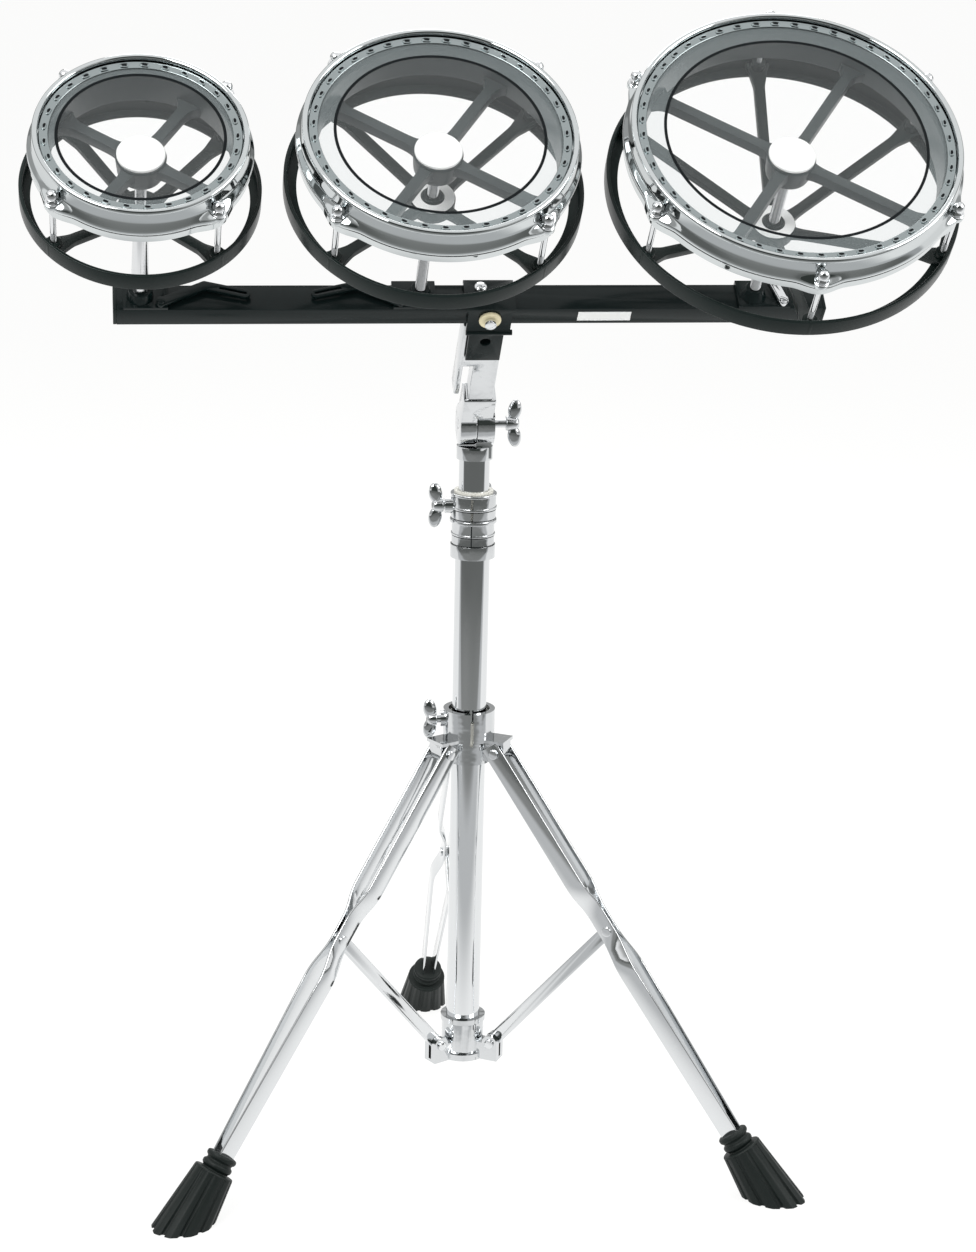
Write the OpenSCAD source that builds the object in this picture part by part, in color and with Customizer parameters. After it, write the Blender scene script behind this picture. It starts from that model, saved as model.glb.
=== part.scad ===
// A set of three tunable frame drums on a rail, carried by a folding tripod stand.
// X runs along the rail, Y points away from the player's side, Z points up from the floor.

/* [Stand] */
// Sideways place of the column's axis
column_x = 13.6; // [-60:0.1:60]
// Front to back place of the column's axis
column_y = 3.9; // [-60:0.1:60]
// Outside diameter of the base tube
base_tube_d = 31.75; // [28:0.25:36]
// Wall of the base tube
base_tube_wall = 1.5; // [1:0.1:2.5]
// Length of the base tube
base_tube_length = 523; // [480:1:600]
// Radial gap between the base tube and the tube inside it
upper_tube_gap = 0.5; // [0.2:0.1:1.5]
// Wall of the upper tube
upper_tube_wall = 1.5; // [1:0.1:3]
// Length of the upper tube
upper_tube_length = 360; // [320:1:400]
// Length of upper tube that shows between the clamp and the tilter
upper_tube_shown = 29; // [27:1:80]
// Radial clearance of every running fit
fit = 0.05; // [0.02:0.01:0.1]
// Clearance between flat faces that pass each other
slip = 0.3; // [0.15:0.05:0.6]

/* [Tripod] */
// Angle of an open leg from the upright
leg_angle = 35.56; // [30:0.01:40]
// Angle of an open brace from the upright
brace_angle = 40.25; // [36:0.01:45]
// Length of a brace between its pivots
brace_length = 175; // [150:1:195]
// Distance of the leg pivots from the column's axis
leg_pivot_r = 30; // [29:0.5:36]
// Distance of the brace pivots from the column's axis
brace_pivot_r = 31; // [29:0.5:36]
// Height of the brace pivots over the floor
brace_pivot_z = 103; // [90:1:130]
// Width of a leg strip
strip_w = 17; // [12:0.5:20]
// Thickness of a leg strip
strip_t = 2.4; // [1.5:0.1:3]
// Distance of a leg strip's middle from the middle of the leg at its wide parts
strip_spread = 10.9; // [10.5:0.1:13]
// The same distance where the strips enter the foot
strip_foot_spread = 4.6; // [3:0.1:6]
// Length over which a strip bends in above the brace rivet
bend_above = 46; // [40:1:60]
// Length over which a strip bends out below the brace rivet
bend_below = 36; // [30:1:60]
// Width of a brace
brace_w = 12.5; // [9:0.5:15]
// Thickness of a brace
brace_t = 3; // [2:0.1:4]
// Diameter of the tripod's pivot pins
pin_d = 6; // [4:0.5:7]
// Radial play of the two front legs on their pins in the collar
collar_play = 1.1; // [1:0.1:1.6]
// Gap between a leg strip and an ear of the collar
ear_gap = 0.6; // [0.6:0.1:1]

/* [Castings] */
// Outside diameter of the leg collar
collar_d = 48; // [46:0.5:52]
// Height of the leg collar over its pivots
collar_above = 38; // [30:1:50]
// Radial gap between the collar's bush and the base tube
collar_gap = 1.6; // [1.2:0.1:2]
// Outside diameter of the bottom casting's ring
casting_d = 40; // [38:0.5:46]
// Height of the bottom casting
casting_h = 41; // [36:1:50]
// Floor of the bottom casting under the tube
casting_floor = 3; // [2:0.5:6]
// Outside diameter of the height clamp
clamp_d = 41; // [39:0.5:46]
// Height of the height clamp
clamp_h = 60; // [55:1:75]
// Depth of base tube held in the height clamp
clamp_hold = 32; // [20:1:40]
// Diameter of the wing screws' threads
screw_d = 8; // [6:0.5:9]
// Width across the wings of a wing screw
wing_span = 36; // [28:1:44]
// Thickness of a wing
wing_t = 6; // [4:0.5:8]

/* [Feet] */
// Length of a rubber foot along its leg
foot_length = 70; // [60:1:80]
// Diameter of a foot where it meets the floor
foot_d = 50; // [38:1:54]
// Diameter of a foot under its beads
foot_top_d = 38; // [30:1:42]
// Diameter of the beads round a foot's top
foot_bead_d = 29; // [28:0.5:32]
// Grooves round a foot
foot_grooves = 10; // [6:1:16]
// Depth of those grooves at the top of the foot's flare
foot_groove_depth = 1.2; // [0.6:0.1:2]
// Depth of the foot's socket for the leg strips
foot_socket = 26; // [15:1:35]

/* [Tilter] */
// Forward tilt of the drums from the upright
head_tilt = 40; // [0:1:60]
// Diameter of the tilter's two toothed halves
tilter_d = 38; // [34:1:44]
// Width of one half of the tilter
tilter_half_w = 15.5; // [12:0.5:20]
// Distance from the tilter's axis to the middle of the rail
arm_length = 166; // [150:1:200]
// Width of the receiver under the rail
receiver_w = 30; // [26:1:34]
// Length of the receiver
receiver_h = 50; // [40:1:60]
// Place of the saddle along the rail
saddle_x = -6; // [-10:1:0]
// Width of the saddle
saddle_w = 43; // [36:1:50]
// Thickness of the saddle's plate
saddle_t = 3; // [2:0.5:4]
// How far the saddle's front reaches below the rail
saddle_drop = 9; // [6:1:14]

/* [Rail] */
// Length of the rail with its end caps
rail_length = 610; // [580:1:680]
// Place of the rail's middle along X
rail_middle = -18.6; // [-30:0.2:0]
// Front to back size of the rail
rail_w = 26.6; // [22:0.2:32]
// Height of the rail
rail_h = 18.8; // [15:0.2:24]
// Wall of the rail
rail_wall = 2; // [1.2:0.1:3]
// Thickness of an end cap
rail_cap_t = 3; // [2:0.5:5]

/* [Drum sizes] */
// Diameter of the small drum's head
small_head_d = 152.4; // [140:0.2:156]
// Diameter of the middle drum's head
middle_head_d = 203.2; // [190:0.2:206]
// Diameter of the large drum's head
large_head_d = 254; // [240:0.5:258]
// Place of the small drum along the rail
small_x = -301; // [-310:1:-299]
// Place of the middle drum along the rail
middle_x = -66; // [-68:1:-62]
// Place of the large drum along the rail
large_x = 223; // [221:1:240]
// Height of the small drum's head over the rail's middle
small_head_z = 203; // [190:1:230]
// Height of the middle drum's head over the rail's middle
middle_head_z = 208.5; // [190:0.5:230]
// Height of the large drum's head over the rail's middle
large_head_z = 206; // [190:1:230]
// Top of the small drum's lower hub over the rail's middle
small_lower_hub_z = 122; // [90:1:126]
// Top of the middle drum's lower hub over the rail's middle
middle_lower_hub_z = 135; // [90:1:136]
// Top of the large drum's lower hub over the rail's middle
large_lower_hub_z = 105; // [90:1:130]
// Tension rods of the small drum
small_rods = 4; // [3:1:6]
// Tension rods of the middle drum
middle_rods = 4; // [3:1:6]
// Tension rods of the large drum
large_rods = 6; // [4:1:8]

/* [Drum parts] */
// Diameter of the threaded spindles
spindle_d = 9.5; // [8:0.1:11]
// Diameter of the small drum's spindle sleeve at its foot
sleeve_d = 15; // [12:0.5:18]
// Thickness of the head's clear film
film_t = 0.4; // [0.3:0.05:0.6]
// Height of the upper frame's rim
rim_h = 34; // [26:1:36]
// Wall of the upper frame's rim
rim_t = 4; // [3:0.5:6]
// Diameter of the upper frame's hub
upper_hub_d = 41; // [36:0.5:46]
// Height of the upper frame's hub
upper_hub_h = 21; // [16:1:24]
// Depth of the upper hub's top under the head
upper_hub_drop = 21.5; // [20:0.5:26]
// Width of an upper spoke
upper_spoke_w = 10; // [8:0.5:14]
// Depth of an upper spoke
upper_spoke_h = 10; // [6:0.5:12]
// Diameter of the white hub cap
hub_cap_d = 39; // [34:0.5:41]
// Thickness of the hub cap
hub_cap_t = 3; // [2:0.5:4]
// Height of the lower ring
ring_h = 15.5; // [12:0.5:18]
// Wall of the lower ring
ring_t = 3; // [2.5:0.1:4]
// How far the lower ring's outside stands out past the head's edge
ring_out = 20; // [19.5:0.1:21]
// Width of the flange inside the lower ring's bottom edge
ring_flange = 11; // [6:0.5:12]
// Depth of the lower ring's top under the head
ring_drop = 55; // [50:1:62]
// Diameter of a lower frame's hub
lower_hub_d = 38; // [32:0.5:44]
// Height of a lower frame's hub
lower_hub_h = 14; // [10:0.5:18]
// Width of a lower spoke
lower_spoke_w = 13; // [9:0.5:16]
// Depth of a lower spoke
lower_spoke_h = 6; // [4:0.5:9]
// Distance of the tension rods from the head's edge
rod_out = 14; // [13.8:0.1:14.4]
// Diameter of a tension rod
rod_d = 5; // [4:0.1:5.5]
// Diameter of an ear of the counterhoop
ear_d = 13; // [11:0.5:13]
// Diameter of a tension rod's round head
rod_head_d = 10; // [8:0.5:11]

/* [Drum brackets] */
// Length of rail that a drum bracket covers beside its spindle
bracket_side = 14; // [12:0.5:20]
// Thickness of a drum bracket's plate
bracket_t = 2.5; // [2:0.1:3.5]
// How far a drum bracket reaches back under the rail
bracket_lip = 10; // [6:1:16]
// Diameter of the boss that holds the spindle, at its foot
boss_d = 23; // [20:0.5:26]
// Height of the boss that holds the spindle
boss_h = 10; // [8:1:16]
// Thickness of a clamp lever
lever_t = 3; // [2:0.5:4]
// Width of a clamp lever
lever_w = 8.5; // [7:0.5:10]
// Distance of a clamp lever's pivot from the rail's middle, towards the player
lever_front = 9; // [7:0.5:10]
// Sideways distance from the small drum's spindle to its lever's pivot
small_lever_x = 17; // [16:0.5:26]
// Sideways distance from the middle drum's spindle to its lever's pivot
middle_lever_x = 17; // [16:0.5:26]
// Sideways distance from the large drum's spindle to its lever's pivot
large_lever_x = 25; // [16:0.5:30]
// Reach of a long clamp lever from its pivot to its bend
lever_reach = 41; // [34:1:48]
// Length of a long clamp lever from its bend to its end
lever_tip = 35; // [26:1:38]
// Length of the large drum's short clamp lever
short_lever = 31; // [26:1:36]

/* [Hidden] */
$fn = 72;

// Colours of the finishes
chrome = [0.82, 0.84, 0.86];
black_paint = [0.10, 0.11, 0.11];
grey_paint = [0.25, 0.29, 0.29];
rubber = [0.08, 0.08, 0.08];
nylon = [0.88, 0.87, 0.80];
clear_film = [0.80, 0.85, 0.87, 0.35];
white_cap = [0.95, 0.95, 0.94];

// A small overlap that makes joined bodies one solid
weld = 0.5;

// Heights along the column
casting_z = brace_pivot_z - 17;
tube_bottom = casting_z + casting_floor;
tube_top = tube_bottom + base_tube_length;
clamp_z = tube_top - clamp_hold;
clamp_top = clamp_z + clamp_h;
bush_lip_h = 2.5;
upper_tube_d = base_tube_d - 2 * base_tube_wall - 2 * upper_tube_gap;
tilter_cap_h = 12;
tilter_cap_gap = 0.8;
tilter_drop = tilter_d / 2 + tilter_cap_gap + tilter_cap_h;
tilter_z = clamp_top + bush_lip_h + upper_tube_shown + tilter_drop;
upper_tube_top = tilter_z - tilter_drop + tilter_cap_h - 3;

// The open leg as a triangle of collar pivot, mid pivot and casting pivot
leg_azimuth = [90, 210, 330];
mid_r = brace_pivot_r + brace_length * sin(brace_angle);
mid_z = brace_pivot_z + brace_length * cos(brace_angle);
leg_upper = (mid_r - leg_pivot_r) / sin(leg_angle);
collar_pivot_z = mid_z + leg_upper * cos(leg_angle);
leg_length = collar_pivot_z / cos(leg_angle);
foot_top = leg_length - foot_length;
strip_end = foot_top + foot_socket;
ear_half = strip_spread - strip_t / 2 - ear_gap;
pinch = brace_t / 2 + slip + strip_t / 2;
pin_reach = strip_spread + strip_t / 2;
collar_top = collar_pivot_z + collar_above;

// Sizes of each drum in the order small, middle, large
SMALL = 0;
MIDDLE = 1;
LARGE = 2;
head_r = [small_head_d / 2, middle_head_d / 2, large_head_d / 2];
drum_x = [small_x, middle_x, large_x];
head_z = [small_head_z, middle_head_z, large_head_z];
lower_hub_z = [small_lower_hub_z, middle_lower_hub_z, large_lower_hub_z];
rods = [small_rods, middle_rods, large_rods];
first_rod = [-50, -48, -90];
first_upper_spoke = -34;
upper_spokes = 4;
foot_sleeve_d = [sleeve_d, spindle_d, spindle_d];
lever_side = [1, -1, 1];
lever_x = [small_lever_x, middle_lever_x, large_lever_x];
lever_bend = 26;
// How much wider than its bar a lever's round end is
lever_swell = 0.1;
lever_ends = [
    [from_angle(lever_bend, lever_reach), from_angle(lever_bend, lever_reach) + from_angle(-15, lever_tip)],
    [from_angle(lever_bend, lever_reach), from_angle(lever_bend, lever_reach) + from_angle(-15, lever_tip)],
    [from_angle(106, short_lever)]
];

function from_angle(angle, length) = [length * cos(angle), length * sin(angle)];

// Heights of the counterhoop's features over the head
hoop_roll_z = 3.5;
hoop_ledge_z = -7.7;
hoop_flare_z = -9;
hoop_bead_z = -13.5;
hoop_skirt_z = -24;
hoop_roll_d = 5;
hoop_bead_d = 4;
hoop_wall = 1.8;
flesh_h = 7;
flesh_w = 4.4;
skirt_depth = 13;
bearing_gap = 1;

module at_column() {
    translate([column_x, column_y, 0]) children();
}

module at_leg(k) {
    at_column() rotate([0, 0, leg_azimuth[k]]) children();
}

module along_leg() {
    translate([leg_pivot_r, 0, collar_pivot_z]) rotate([0, -leg_angle, 0]) children();
}

module along_brace() {
    translate([brace_pivot_r, 0, brace_pivot_z]) rotate([0, brace_angle, 0]) children();
}

module at_tilter() {
    at_column() translate([0, 0, tilter_z]) rotate([head_tilt, 0, 0]) children();
}

module at_rail() {
    at_tilter() translate([0, 0, arm_length]) children();
}

module at_drum(i) {
    at_rail() translate([drum_x[i], 0, 0]) children();
}

// A straight tube along Z
module tube(outside, inside, height) {
    difference() {
        cylinder(d = outside, h = height);
        translate([0, 0, -1]) cylinder(d = inside, h = height + 2);
    }
}

// A cylinder along Y, centred
module pin_y(d, length) {
    rotate([90, 0, 0]) cylinder(d = d, h = length, center = true);
}

// A cylinder along X from its start
module pin_x(d, length) {
    rotate([0, 90, 0]) cylinder(d = d, h = length);
}

// A flat bar with round ends, drawn from one point to another
module bar_2d(from, to, width, swell = 0) {
    along = to - from;
    translate(from) rotate(atan2(along[1], along[0])) translate([0, -width / 2]) square([norm(along), width]);
    translate(from) circle(d = width + swell);
    translate(to) circle(d = width + swell);
}

// A wing screw along X: its point at the origin, its wings at the far end
module wing_screw(shaft, hub) {
    lobe = wing_span / 2 - wing_t;
    pin_x(screw_d, shaft + hub);
    translate([shaft, 0, 0]) pin_x(screw_d + 6, hub);
    translate([shaft + hub / 2, wing_t / 2, 0]) rotate([90, 0, 0]) linear_extrude(wing_t) {
        bar_2d([0, 0], [3, lobe], hub - 1);
        bar_2d([0, 0], [3, -lobe], hub - 1);
    }
}

// Stand: tubes and castings

module base_tube() {
    color(chrome) at_column() translate([0, 0, tube_bottom])
        tube(base_tube_d, base_tube_d - 2 * base_tube_wall, base_tube_length);
}

module bottom_casting() {
    ear_r = brace_pivot_r + brace_w / 2 + 1.5;
    ear_w = 2 * ear_half - 2;
    slot = brace_t + 2 * slip;
    color(chrome) at_column() difference() {
        union() {
            translate([0, 0, casting_z]) cylinder(d = casting_d, h = casting_h);
            translate([0, 0, casting_z]) cylinder(d = casting_d + 6, h = 6);
            translate([0, 0, casting_z + casting_h - 5]) cylinder(d = casting_d + 2.5, h = 5);
            for (k = leg_azimuth) rotate([0, 0, k]) translate([0, 0, brace_pivot_z]) {
                translate([brace_pivot_r, 0, 0]) pin_y(2 * (ear_r - brace_pivot_r), ear_w);
                translate([10, -ear_w / 2, -17]) cube([ear_r - 10, ear_w, 17]);
            }
        }
        translate([0, 0, tube_bottom]) cylinder(d = base_tube_d + 2 * fit, h = casting_h);
        for (k = leg_azimuth) rotate([0, 0, k]) translate([0, 0, brace_pivot_z]) {
            translate([brace_pivot_r - brace_w / 2 - 1, -slot / 2, -14]) cube([30, slot, 40]);
            translate([brace_pivot_r, 0, 0]) pin_y(pin_d + 2 * fit, ear_w + 8);
        }
    }
}

module casting_pins() {
    head = 2;
    ear_w = 2 * ear_half - 2;
    color(chrome) at_column() for (k = leg_azimuth) rotate([0, 0, k])
        translate([brace_pivot_r, 0, brace_pivot_z]) {
            pin_y(pin_d, ear_w + 2 * head);
            for (s = [-1, 1]) translate([0, s * (ear_w / 2 + head / 2 + 0.02), 0]) pin_y(pin_d + 3, head);
        }
}

module height_clamp() {
    slit = 2;
    boss_d = screw_d + 7;
    left_z = clamp_top - 12;
    rear_z = clamp_top - 20;
    color(chrome) at_column() difference() {
        union() {
            translate([0, 0, clamp_z]) cylinder(d = clamp_d - 2, h = clamp_h);
            translate([0, 0, clamp_z]) cylinder(d = clamp_d, h = 12);
            translate([0, 0, clamp_top - 26]) cylinder(d = clamp_d, h = 26);
            translate([0, 0, left_z]) rotate([0, 0, 180]) pin_x(boss_d, clamp_d / 2 + 6);
            translate([0, 0, rear_z]) rotate([0, 0, 60]) pin_x(boss_d, clamp_d / 2 + 6);
        }
        translate([0, 0, clamp_z - 1]) cylinder(d = base_tube_d + 2 * fit, h = clamp_h + 2);
        translate([-4 - slit / 2, -clamp_d, clamp_top - 24]) cube([slit, clamp_d, 30]);
        translate([0, 0, left_z]) rotate([0, 0, 180]) pin_x(screw_d + 2 * fit, clamp_d);
        translate([0, 0, rear_z]) rotate([0, 0, 60]) pin_x(screw_d + 2 * fit, clamp_d);
    }
}

module clamp_bush() {
    color(nylon) at_column() difference() {
        union() {
            translate([0, 0, tube_top + slip]) cylinder(d = base_tube_d, h = clamp_top - tube_top - slip);
            translate([0, 0, clamp_top]) cylinder(d = base_tube_d + 4, h = bush_lip_h);
        }
        translate([0, 0, tube_top - 1]) cylinder(d = upper_tube_d + 2 * fit, h = clamp_h);
    }
}

module clamp_wing_screw() {
    color(chrome) at_column() translate([0, 0, clamp_top - 12]) rotate([0, 0, 180])
        translate([base_tube_d / 2 + fit, 0, 0]) wing_screw(12, 10);
}

module rear_wing_screw() {
    color(chrome) at_column() translate([0, 0, clamp_top - 20]) rotate([0, 0, 60])
        translate([base_tube_d / 2 + fit, 0, 0]) wing_screw(12, 10);
}

// The collar that slides on the base tube as the legs fold

module leg_collar() {
    bore = base_tube_d + 2 * collar_gap + 2 * 1.5;
    ear_r = leg_pivot_r + strip_w / 2 - 1;
    plate_z = collar_pivot_z + strip_w / 2 + 1;
    screw_z = collar_top - 10;
    color(chrome) at_column() difference() {
        union() {
            translate([0, 0, plate_z]) cylinder(d = collar_d, h = collar_top - plate_z);
            translate([0, 0, collar_pivot_z - 12]) cylinder(d = bore + 4, h = 14 + strip_w / 2);
            for (k = leg_azimuth) rotate([0, 0, k]) {
                translate([15, -ear_half, collar_pivot_z - 9]) cube([leg_pivot_r - 15, 2 * ear_half, 20]);
                translate([leg_pivot_r, 0, collar_pivot_z]) pin_y(15, 2 * ear_half);
                translate([15, -pin_reach, plate_z]) cube([ear_r - 13, 2 * pin_reach, 3]);
                translate([15, -ear_half, collar_pivot_z])
                    cube([ear_r - 14, 2 * ear_half, plate_z - collar_pivot_z]);
            }
            translate([0, 0, screw_z]) rotate([0, 0, 180]) pin_x(screw_d + 7, collar_d / 2 + 3);
        }
        translate([0, 0, collar_pivot_z - 20]) cylinder(d = bore + 2 * fit, h = collar_above + 40);
        translate([0, 0, screw_z]) rotate([0, 0, 180]) pin_x(screw_d + 2 * fit, collar_d);
        translate([-1.5, -collar_d, collar_pivot_z + 6]) cube([3, collar_d, collar_above]);
        for (k = leg_azimuth) rotate([0, 0, k])
            translate([leg_pivot_r, 0, collar_pivot_z]) pin_y(pin_d + 2 * fit, 4 * ear_half);
    }
}

module collar_bush() {
    inside = base_tube_d + 2 * collar_gap;
    color(nylon) at_column() translate([0, 0, collar_pivot_z - 12]) tube(inside + 3, inside, 40);
}

module collar_pins() {
    head = 2;
    reach = pin_reach + ear_gap;
    color(chrome) at_column() for (k = leg_azimuth) rotate([0, 0, k])
        translate([leg_pivot_r, 0, collar_pivot_z]) {
            pin_y(pin_d, 2 * (reach + head));
            for (s = [-1, 1]) translate([0, s * (reach + head / 2), 0]) pin_y(pin_d + 3, head);
        }
}

module collar_wing_screw() {
    start = base_tube_d / 2 + collar_gap + 1.5 + 0.5;
    color(chrome) at_column() translate([0, 0, collar_top - 10]) rotate([0, 0, 180])
        translate([start, 0, 0]) wing_screw(11, 9);
}

// Tripod: two bent strips a leg, one flat brace and a rubber foot

module strip_profile(side) {
    line = [
        [-strip_w, strip_spread],
        [leg_upper - bend_above, strip_spread],
        [leg_upper - bend_above * 0.55, pinch],
        [leg_upper + bend_below * 0.25, pinch],
        [leg_upper + bend_below, strip_spread],
        [strip_end, strip_foot_spread]
    ];
    out = [for (p = line) [p[0], side * (p[1] + strip_t / 2)]];
    back = [for (i = [len(line) - 1 : -1 : 0]) [line[i][0], side * (line[i][1] - strip_t / 2)]];
    polygon(concat(out, back));
}

module leg(k) {
    rivet = pinch + strip_t / 2;
    color(chrome) at_leg(k) along_leg() {
        for (side = [-1, 1]) difference() {
            intersection() {
                translate([-strip_w / 2, 0, 0]) rotate([0, 90, 0])
                    linear_extrude(strip_w) strip_profile(side);
                rotate([90, 0, 0]) linear_extrude(4 * pin_reach, center = true) {
                    circle(d = strip_w);
                    translate([-strip_w / 2, -strip_end]) square([strip_w, strip_end]);
                }
            }
            pin_y(pin_d + 2 * (k == 0 ? fit : collar_play), 4 * pin_reach);
            translate([0, 0, -leg_upper]) pin_y(pin_d + 2 * fit, 4 * pin_reach);
        }
        translate([0, 0, -leg_upper]) {
            pin_y(pin_d, 2 * rivet + 3);
            for (s = [-1, 1]) translate([0, s * (rivet + 0.8 + 0.02), 0]) pin_y(pin_d + 3, 1.6);
        }
    }
}

module brace(k) {
    color(chrome) at_leg(k) along_brace() rotate([90, 0, 0]) linear_extrude(brace_t, center = true)
        difference() {
            bar_2d([0, 0], [0, brace_length], brace_w);
            circle(d = pin_d + 2 * fit);
            translate([0, brace_length]) circle(d = pin_d + 2 * fit);
        }
}

module foot(k) {
    bead = foot_bead_d / 2;
    neck = bead - 2.5;
    socket_y = 2 * strip_foot_spread + strip_t + 2.4;
    past = 30;
    color(rubber) at_leg(k) difference() {
        along_leg() translate([0, 0, -foot_top]) rotate([180, 0, 0]) difference() {
            union() {
                cylinder(r = neck, h = 18);
                translate([0, 0, 3.2]) rotate_extrude() translate([neck - 1, 0]) circle(r = 3.2, $fn = 32);
                translate([0, 0, 11.5]) rotate_extrude() translate([neck - 1, 0]) circle(r = 3.2, $fn = 32);
                translate([0, 0, 16]) cylinder(d1 = foot_top_d, d2 = foot_d, h = foot_length - 16);
                translate([0, 0, foot_length - weld]) cylinder(d = foot_d, h = past);
            }
            translate([-strip_w / 2 - fit, -socket_y / 2, -1])
                cube([strip_w + 2 * fit, socket_y, foot_socket + 1 + slip]);
            for (g = [0 : foot_grooves - 1]) rotate([0, 0, (g + 0.5) * 360 / foot_grooves])
                translate([foot_top_d / 2 - foot_groove_depth + 0.4, -1.6, 20])
                    rotate([0, atan((foot_d - foot_top_d) / 2 / foot_length), 0])
                    cube([8, 3.2, foot_length + past]);
        }
        translate([0, -100, -200]) cube([600, 200, 200]);
    }
}

// Upper tube and tilter

module upper_tube() {
    color(chrome) at_column() translate([0, 0, upper_tube_top - upper_tube_length])
        tube(upper_tube_d, upper_tube_d - 2 * upper_tube_wall, upper_tube_length);
}

module tilter_base() {
    cap_d = upper_tube_d + 5;
    color(chrome) at_column() translate([0, 0, tilter_z]) difference() {
        union() {
            translate([0, 0, -tilter_drop]) cylinder(d = cap_d, h = tilter_cap_h);
            translate([slip / 2, 0, 0]) pin_x(tilter_d, tilter_half_w);
            translate([slip / 2, -12, -tilter_drop + 2]) cube([tilter_half_w - 2, 24, tilter_drop - 2]);
        }
        translate([0, 0, -tilter_drop - 1])
            cylinder(d = upper_tube_d + 2 * fit, h = tilter_cap_h - 3 + 1 + fit);
        translate([-1, 0, 0]) pin_x(screw_d + 2 * fit, tilter_half_w + 8);
    }
}

module tilter_head() {
    rise = tilter_d / 2 + 1;
    receiver_bottom = arm_length - rail_h / 2 - slip - receiver_h;
    strap_w = 5;
    color(chrome) at_tilter() difference() {
        union() {
            translate([-tilter_half_w - slip / 2, 0, 0]) pin_x(tilter_d, tilter_half_w);
            translate([-tilter_half_w - slip / 2, -11, 0]) cube([tilter_half_w, 22, rise + 8]);
            translate([-tilter_half_w - slip / 2, -11, rise]) cube([2 * tilter_half_w - 2, 22, 26]);
            translate([-12, -9, rise + 20]) cube([22, 18, receiver_bottom - rise - 20]);
            translate([saddle_x - receiver_w / 2 - strap_w, -9, rise + 34])
                cube([strap_w, 18, receiver_bottom - rise - 34 + receiver_h - 8]);
            translate([saddle_x - receiver_w / 2 - strap_w, -9, receiver_bottom - 14])
                cube([receiver_w, 18, 14]);
        }
        translate([-tilter_half_w - 8, 0, 0]) pin_x(screw_d + 2 * fit, tilter_half_w + 10);
    }
}

module tilter_wing_bolt() {
    left = -tilter_half_w - slip / 2;
    color(chrome) at_column() translate([left, 0, tilter_z]) {
        wing_screw(2 * tilter_half_w + slip + 12, 12);
        translate([-5.02, 0, 0]) pin_x(screw_d + 6, 5);
    }
}

// Receiver, saddle and rail

module rail_receiver() {
    color(black_paint) at_rail() translate([saddle_x, 0, -rail_h / 2 - slip - receiver_h]) difference() {
        translate([-receiver_w / 2, -rail_w / 2, 0]) cube([receiver_w, rail_w, receiver_h]);
        translate([0, 0, receiver_h - 25]) pin_y(9, 3 * receiver_w);
    }
}

module rail_saddle() {
    inside = rail_w / 2 + fit;
    top = rail_h / 2 + fit;
    lip_d = 5;
    front_w = saddle_w - 5;
    flange_bottom = -rail_h / 2 - saddle_drop;
    color(black_paint) at_rail() translate([saddle_x, 0, 0]) difference() {
        union() {
            translate([-saddle_w / 2, -inside - saddle_t, top])
                cube([saddle_w, 2 * (inside + saddle_t), saddle_t]);
            for (s = [-1, 1])
                translate([-front_w / 2, s * (inside + saddle_t / 2) - saddle_t / 2, flange_bottom])
                    cube([front_w, saddle_t, rail_h + saddle_drop + 1]);
            translate([-front_w / 2, -inside - saddle_t / 2 - 1, flange_bottom]) pin_x(lip_d, front_w + 2);
        }
        pin_y(pin_d + 2 * fit, 4 * rail_w);
        translate([-7, 8, 0]) cylinder(d = 5 + 2 * fit, h = rail_h);
    }
}

module saddle_bolts() {
    front = rail_w / 2 + fit + saddle_t;
    top = rail_h / 2 + fit + saddle_t;
    color(chrome) at_rail() translate([saddle_x, 0, 0]) {
        rotate([90, 0, 0]) translate([0, 0, -front - 5]) cylinder(d = pin_d, h = 2 * front + 12);
        translate([0, -front - 3 - 2.5, 0]) pin_y(10, 5);
        translate([0, front + 2.52, 0]) pin_y(11, 5);
        translate([-7, 8, top - 10]) cylinder(d = 5, h = 11);
        translate([-7, 8, top + 0.02]) intersection() {
            cylinder(d = 11, h = 6);
            translate([0, 0, -4]) sphere(d = 15);
        }
    }
}

module saddle_washer() {
    front = rail_w / 2 + fit + saddle_t;
    color(nylon) at_rail() translate([saddle_x, -front - 1.4, 0]) difference() {
        pin_y(19, 2.4);
        pin_y(pin_d + 2 * fit, 10);
    }
}

module rail() {
    length = rail_length - 2 * rail_cap_t;
    color(black_paint) at_rail() difference() {
        translate([rail_middle - length / 2, -rail_w / 2, -rail_h / 2]) cube([length, rail_w, rail_h]);
        translate([rail_middle - length / 2 - 1, -rail_w / 2 + rail_wall, -rail_h / 2 + rail_wall])
            cube([length + 2, rail_w - 2 * rail_wall, rail_h - 2 * rail_wall]);
        translate([saddle_x, 0, 0]) pin_y(pin_d + 2 * fit, 2 * rail_w);
        translate([saddle_x - 7, 8, 0]) cylinder(d = 5 + 2 * fit, h = rail_h);
    }
}

module rail_end_caps() {
    plug = 10;
    plug_w = rail_w - 2 * rail_wall - 2 * fit;
    plug_h = rail_h - 2 * rail_wall - 2 * fit;
    color(black_paint) at_rail() translate([rail_middle, 0, 0]) for (s = [-1, 1]) {
        translate([s * (rail_length / 2 - rail_cap_t / 2), 0, 0])
            cube([rail_cap_t, rail_w, rail_h], center = true);
        translate([s * (rail_length / 2 - rail_cap_t - plug / 2 + weld / 2), 0, 0])
            cube([plug + weld, plug_w, plug_h], center = true);
    }
}

// Drum brackets with their clamp levers

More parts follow.
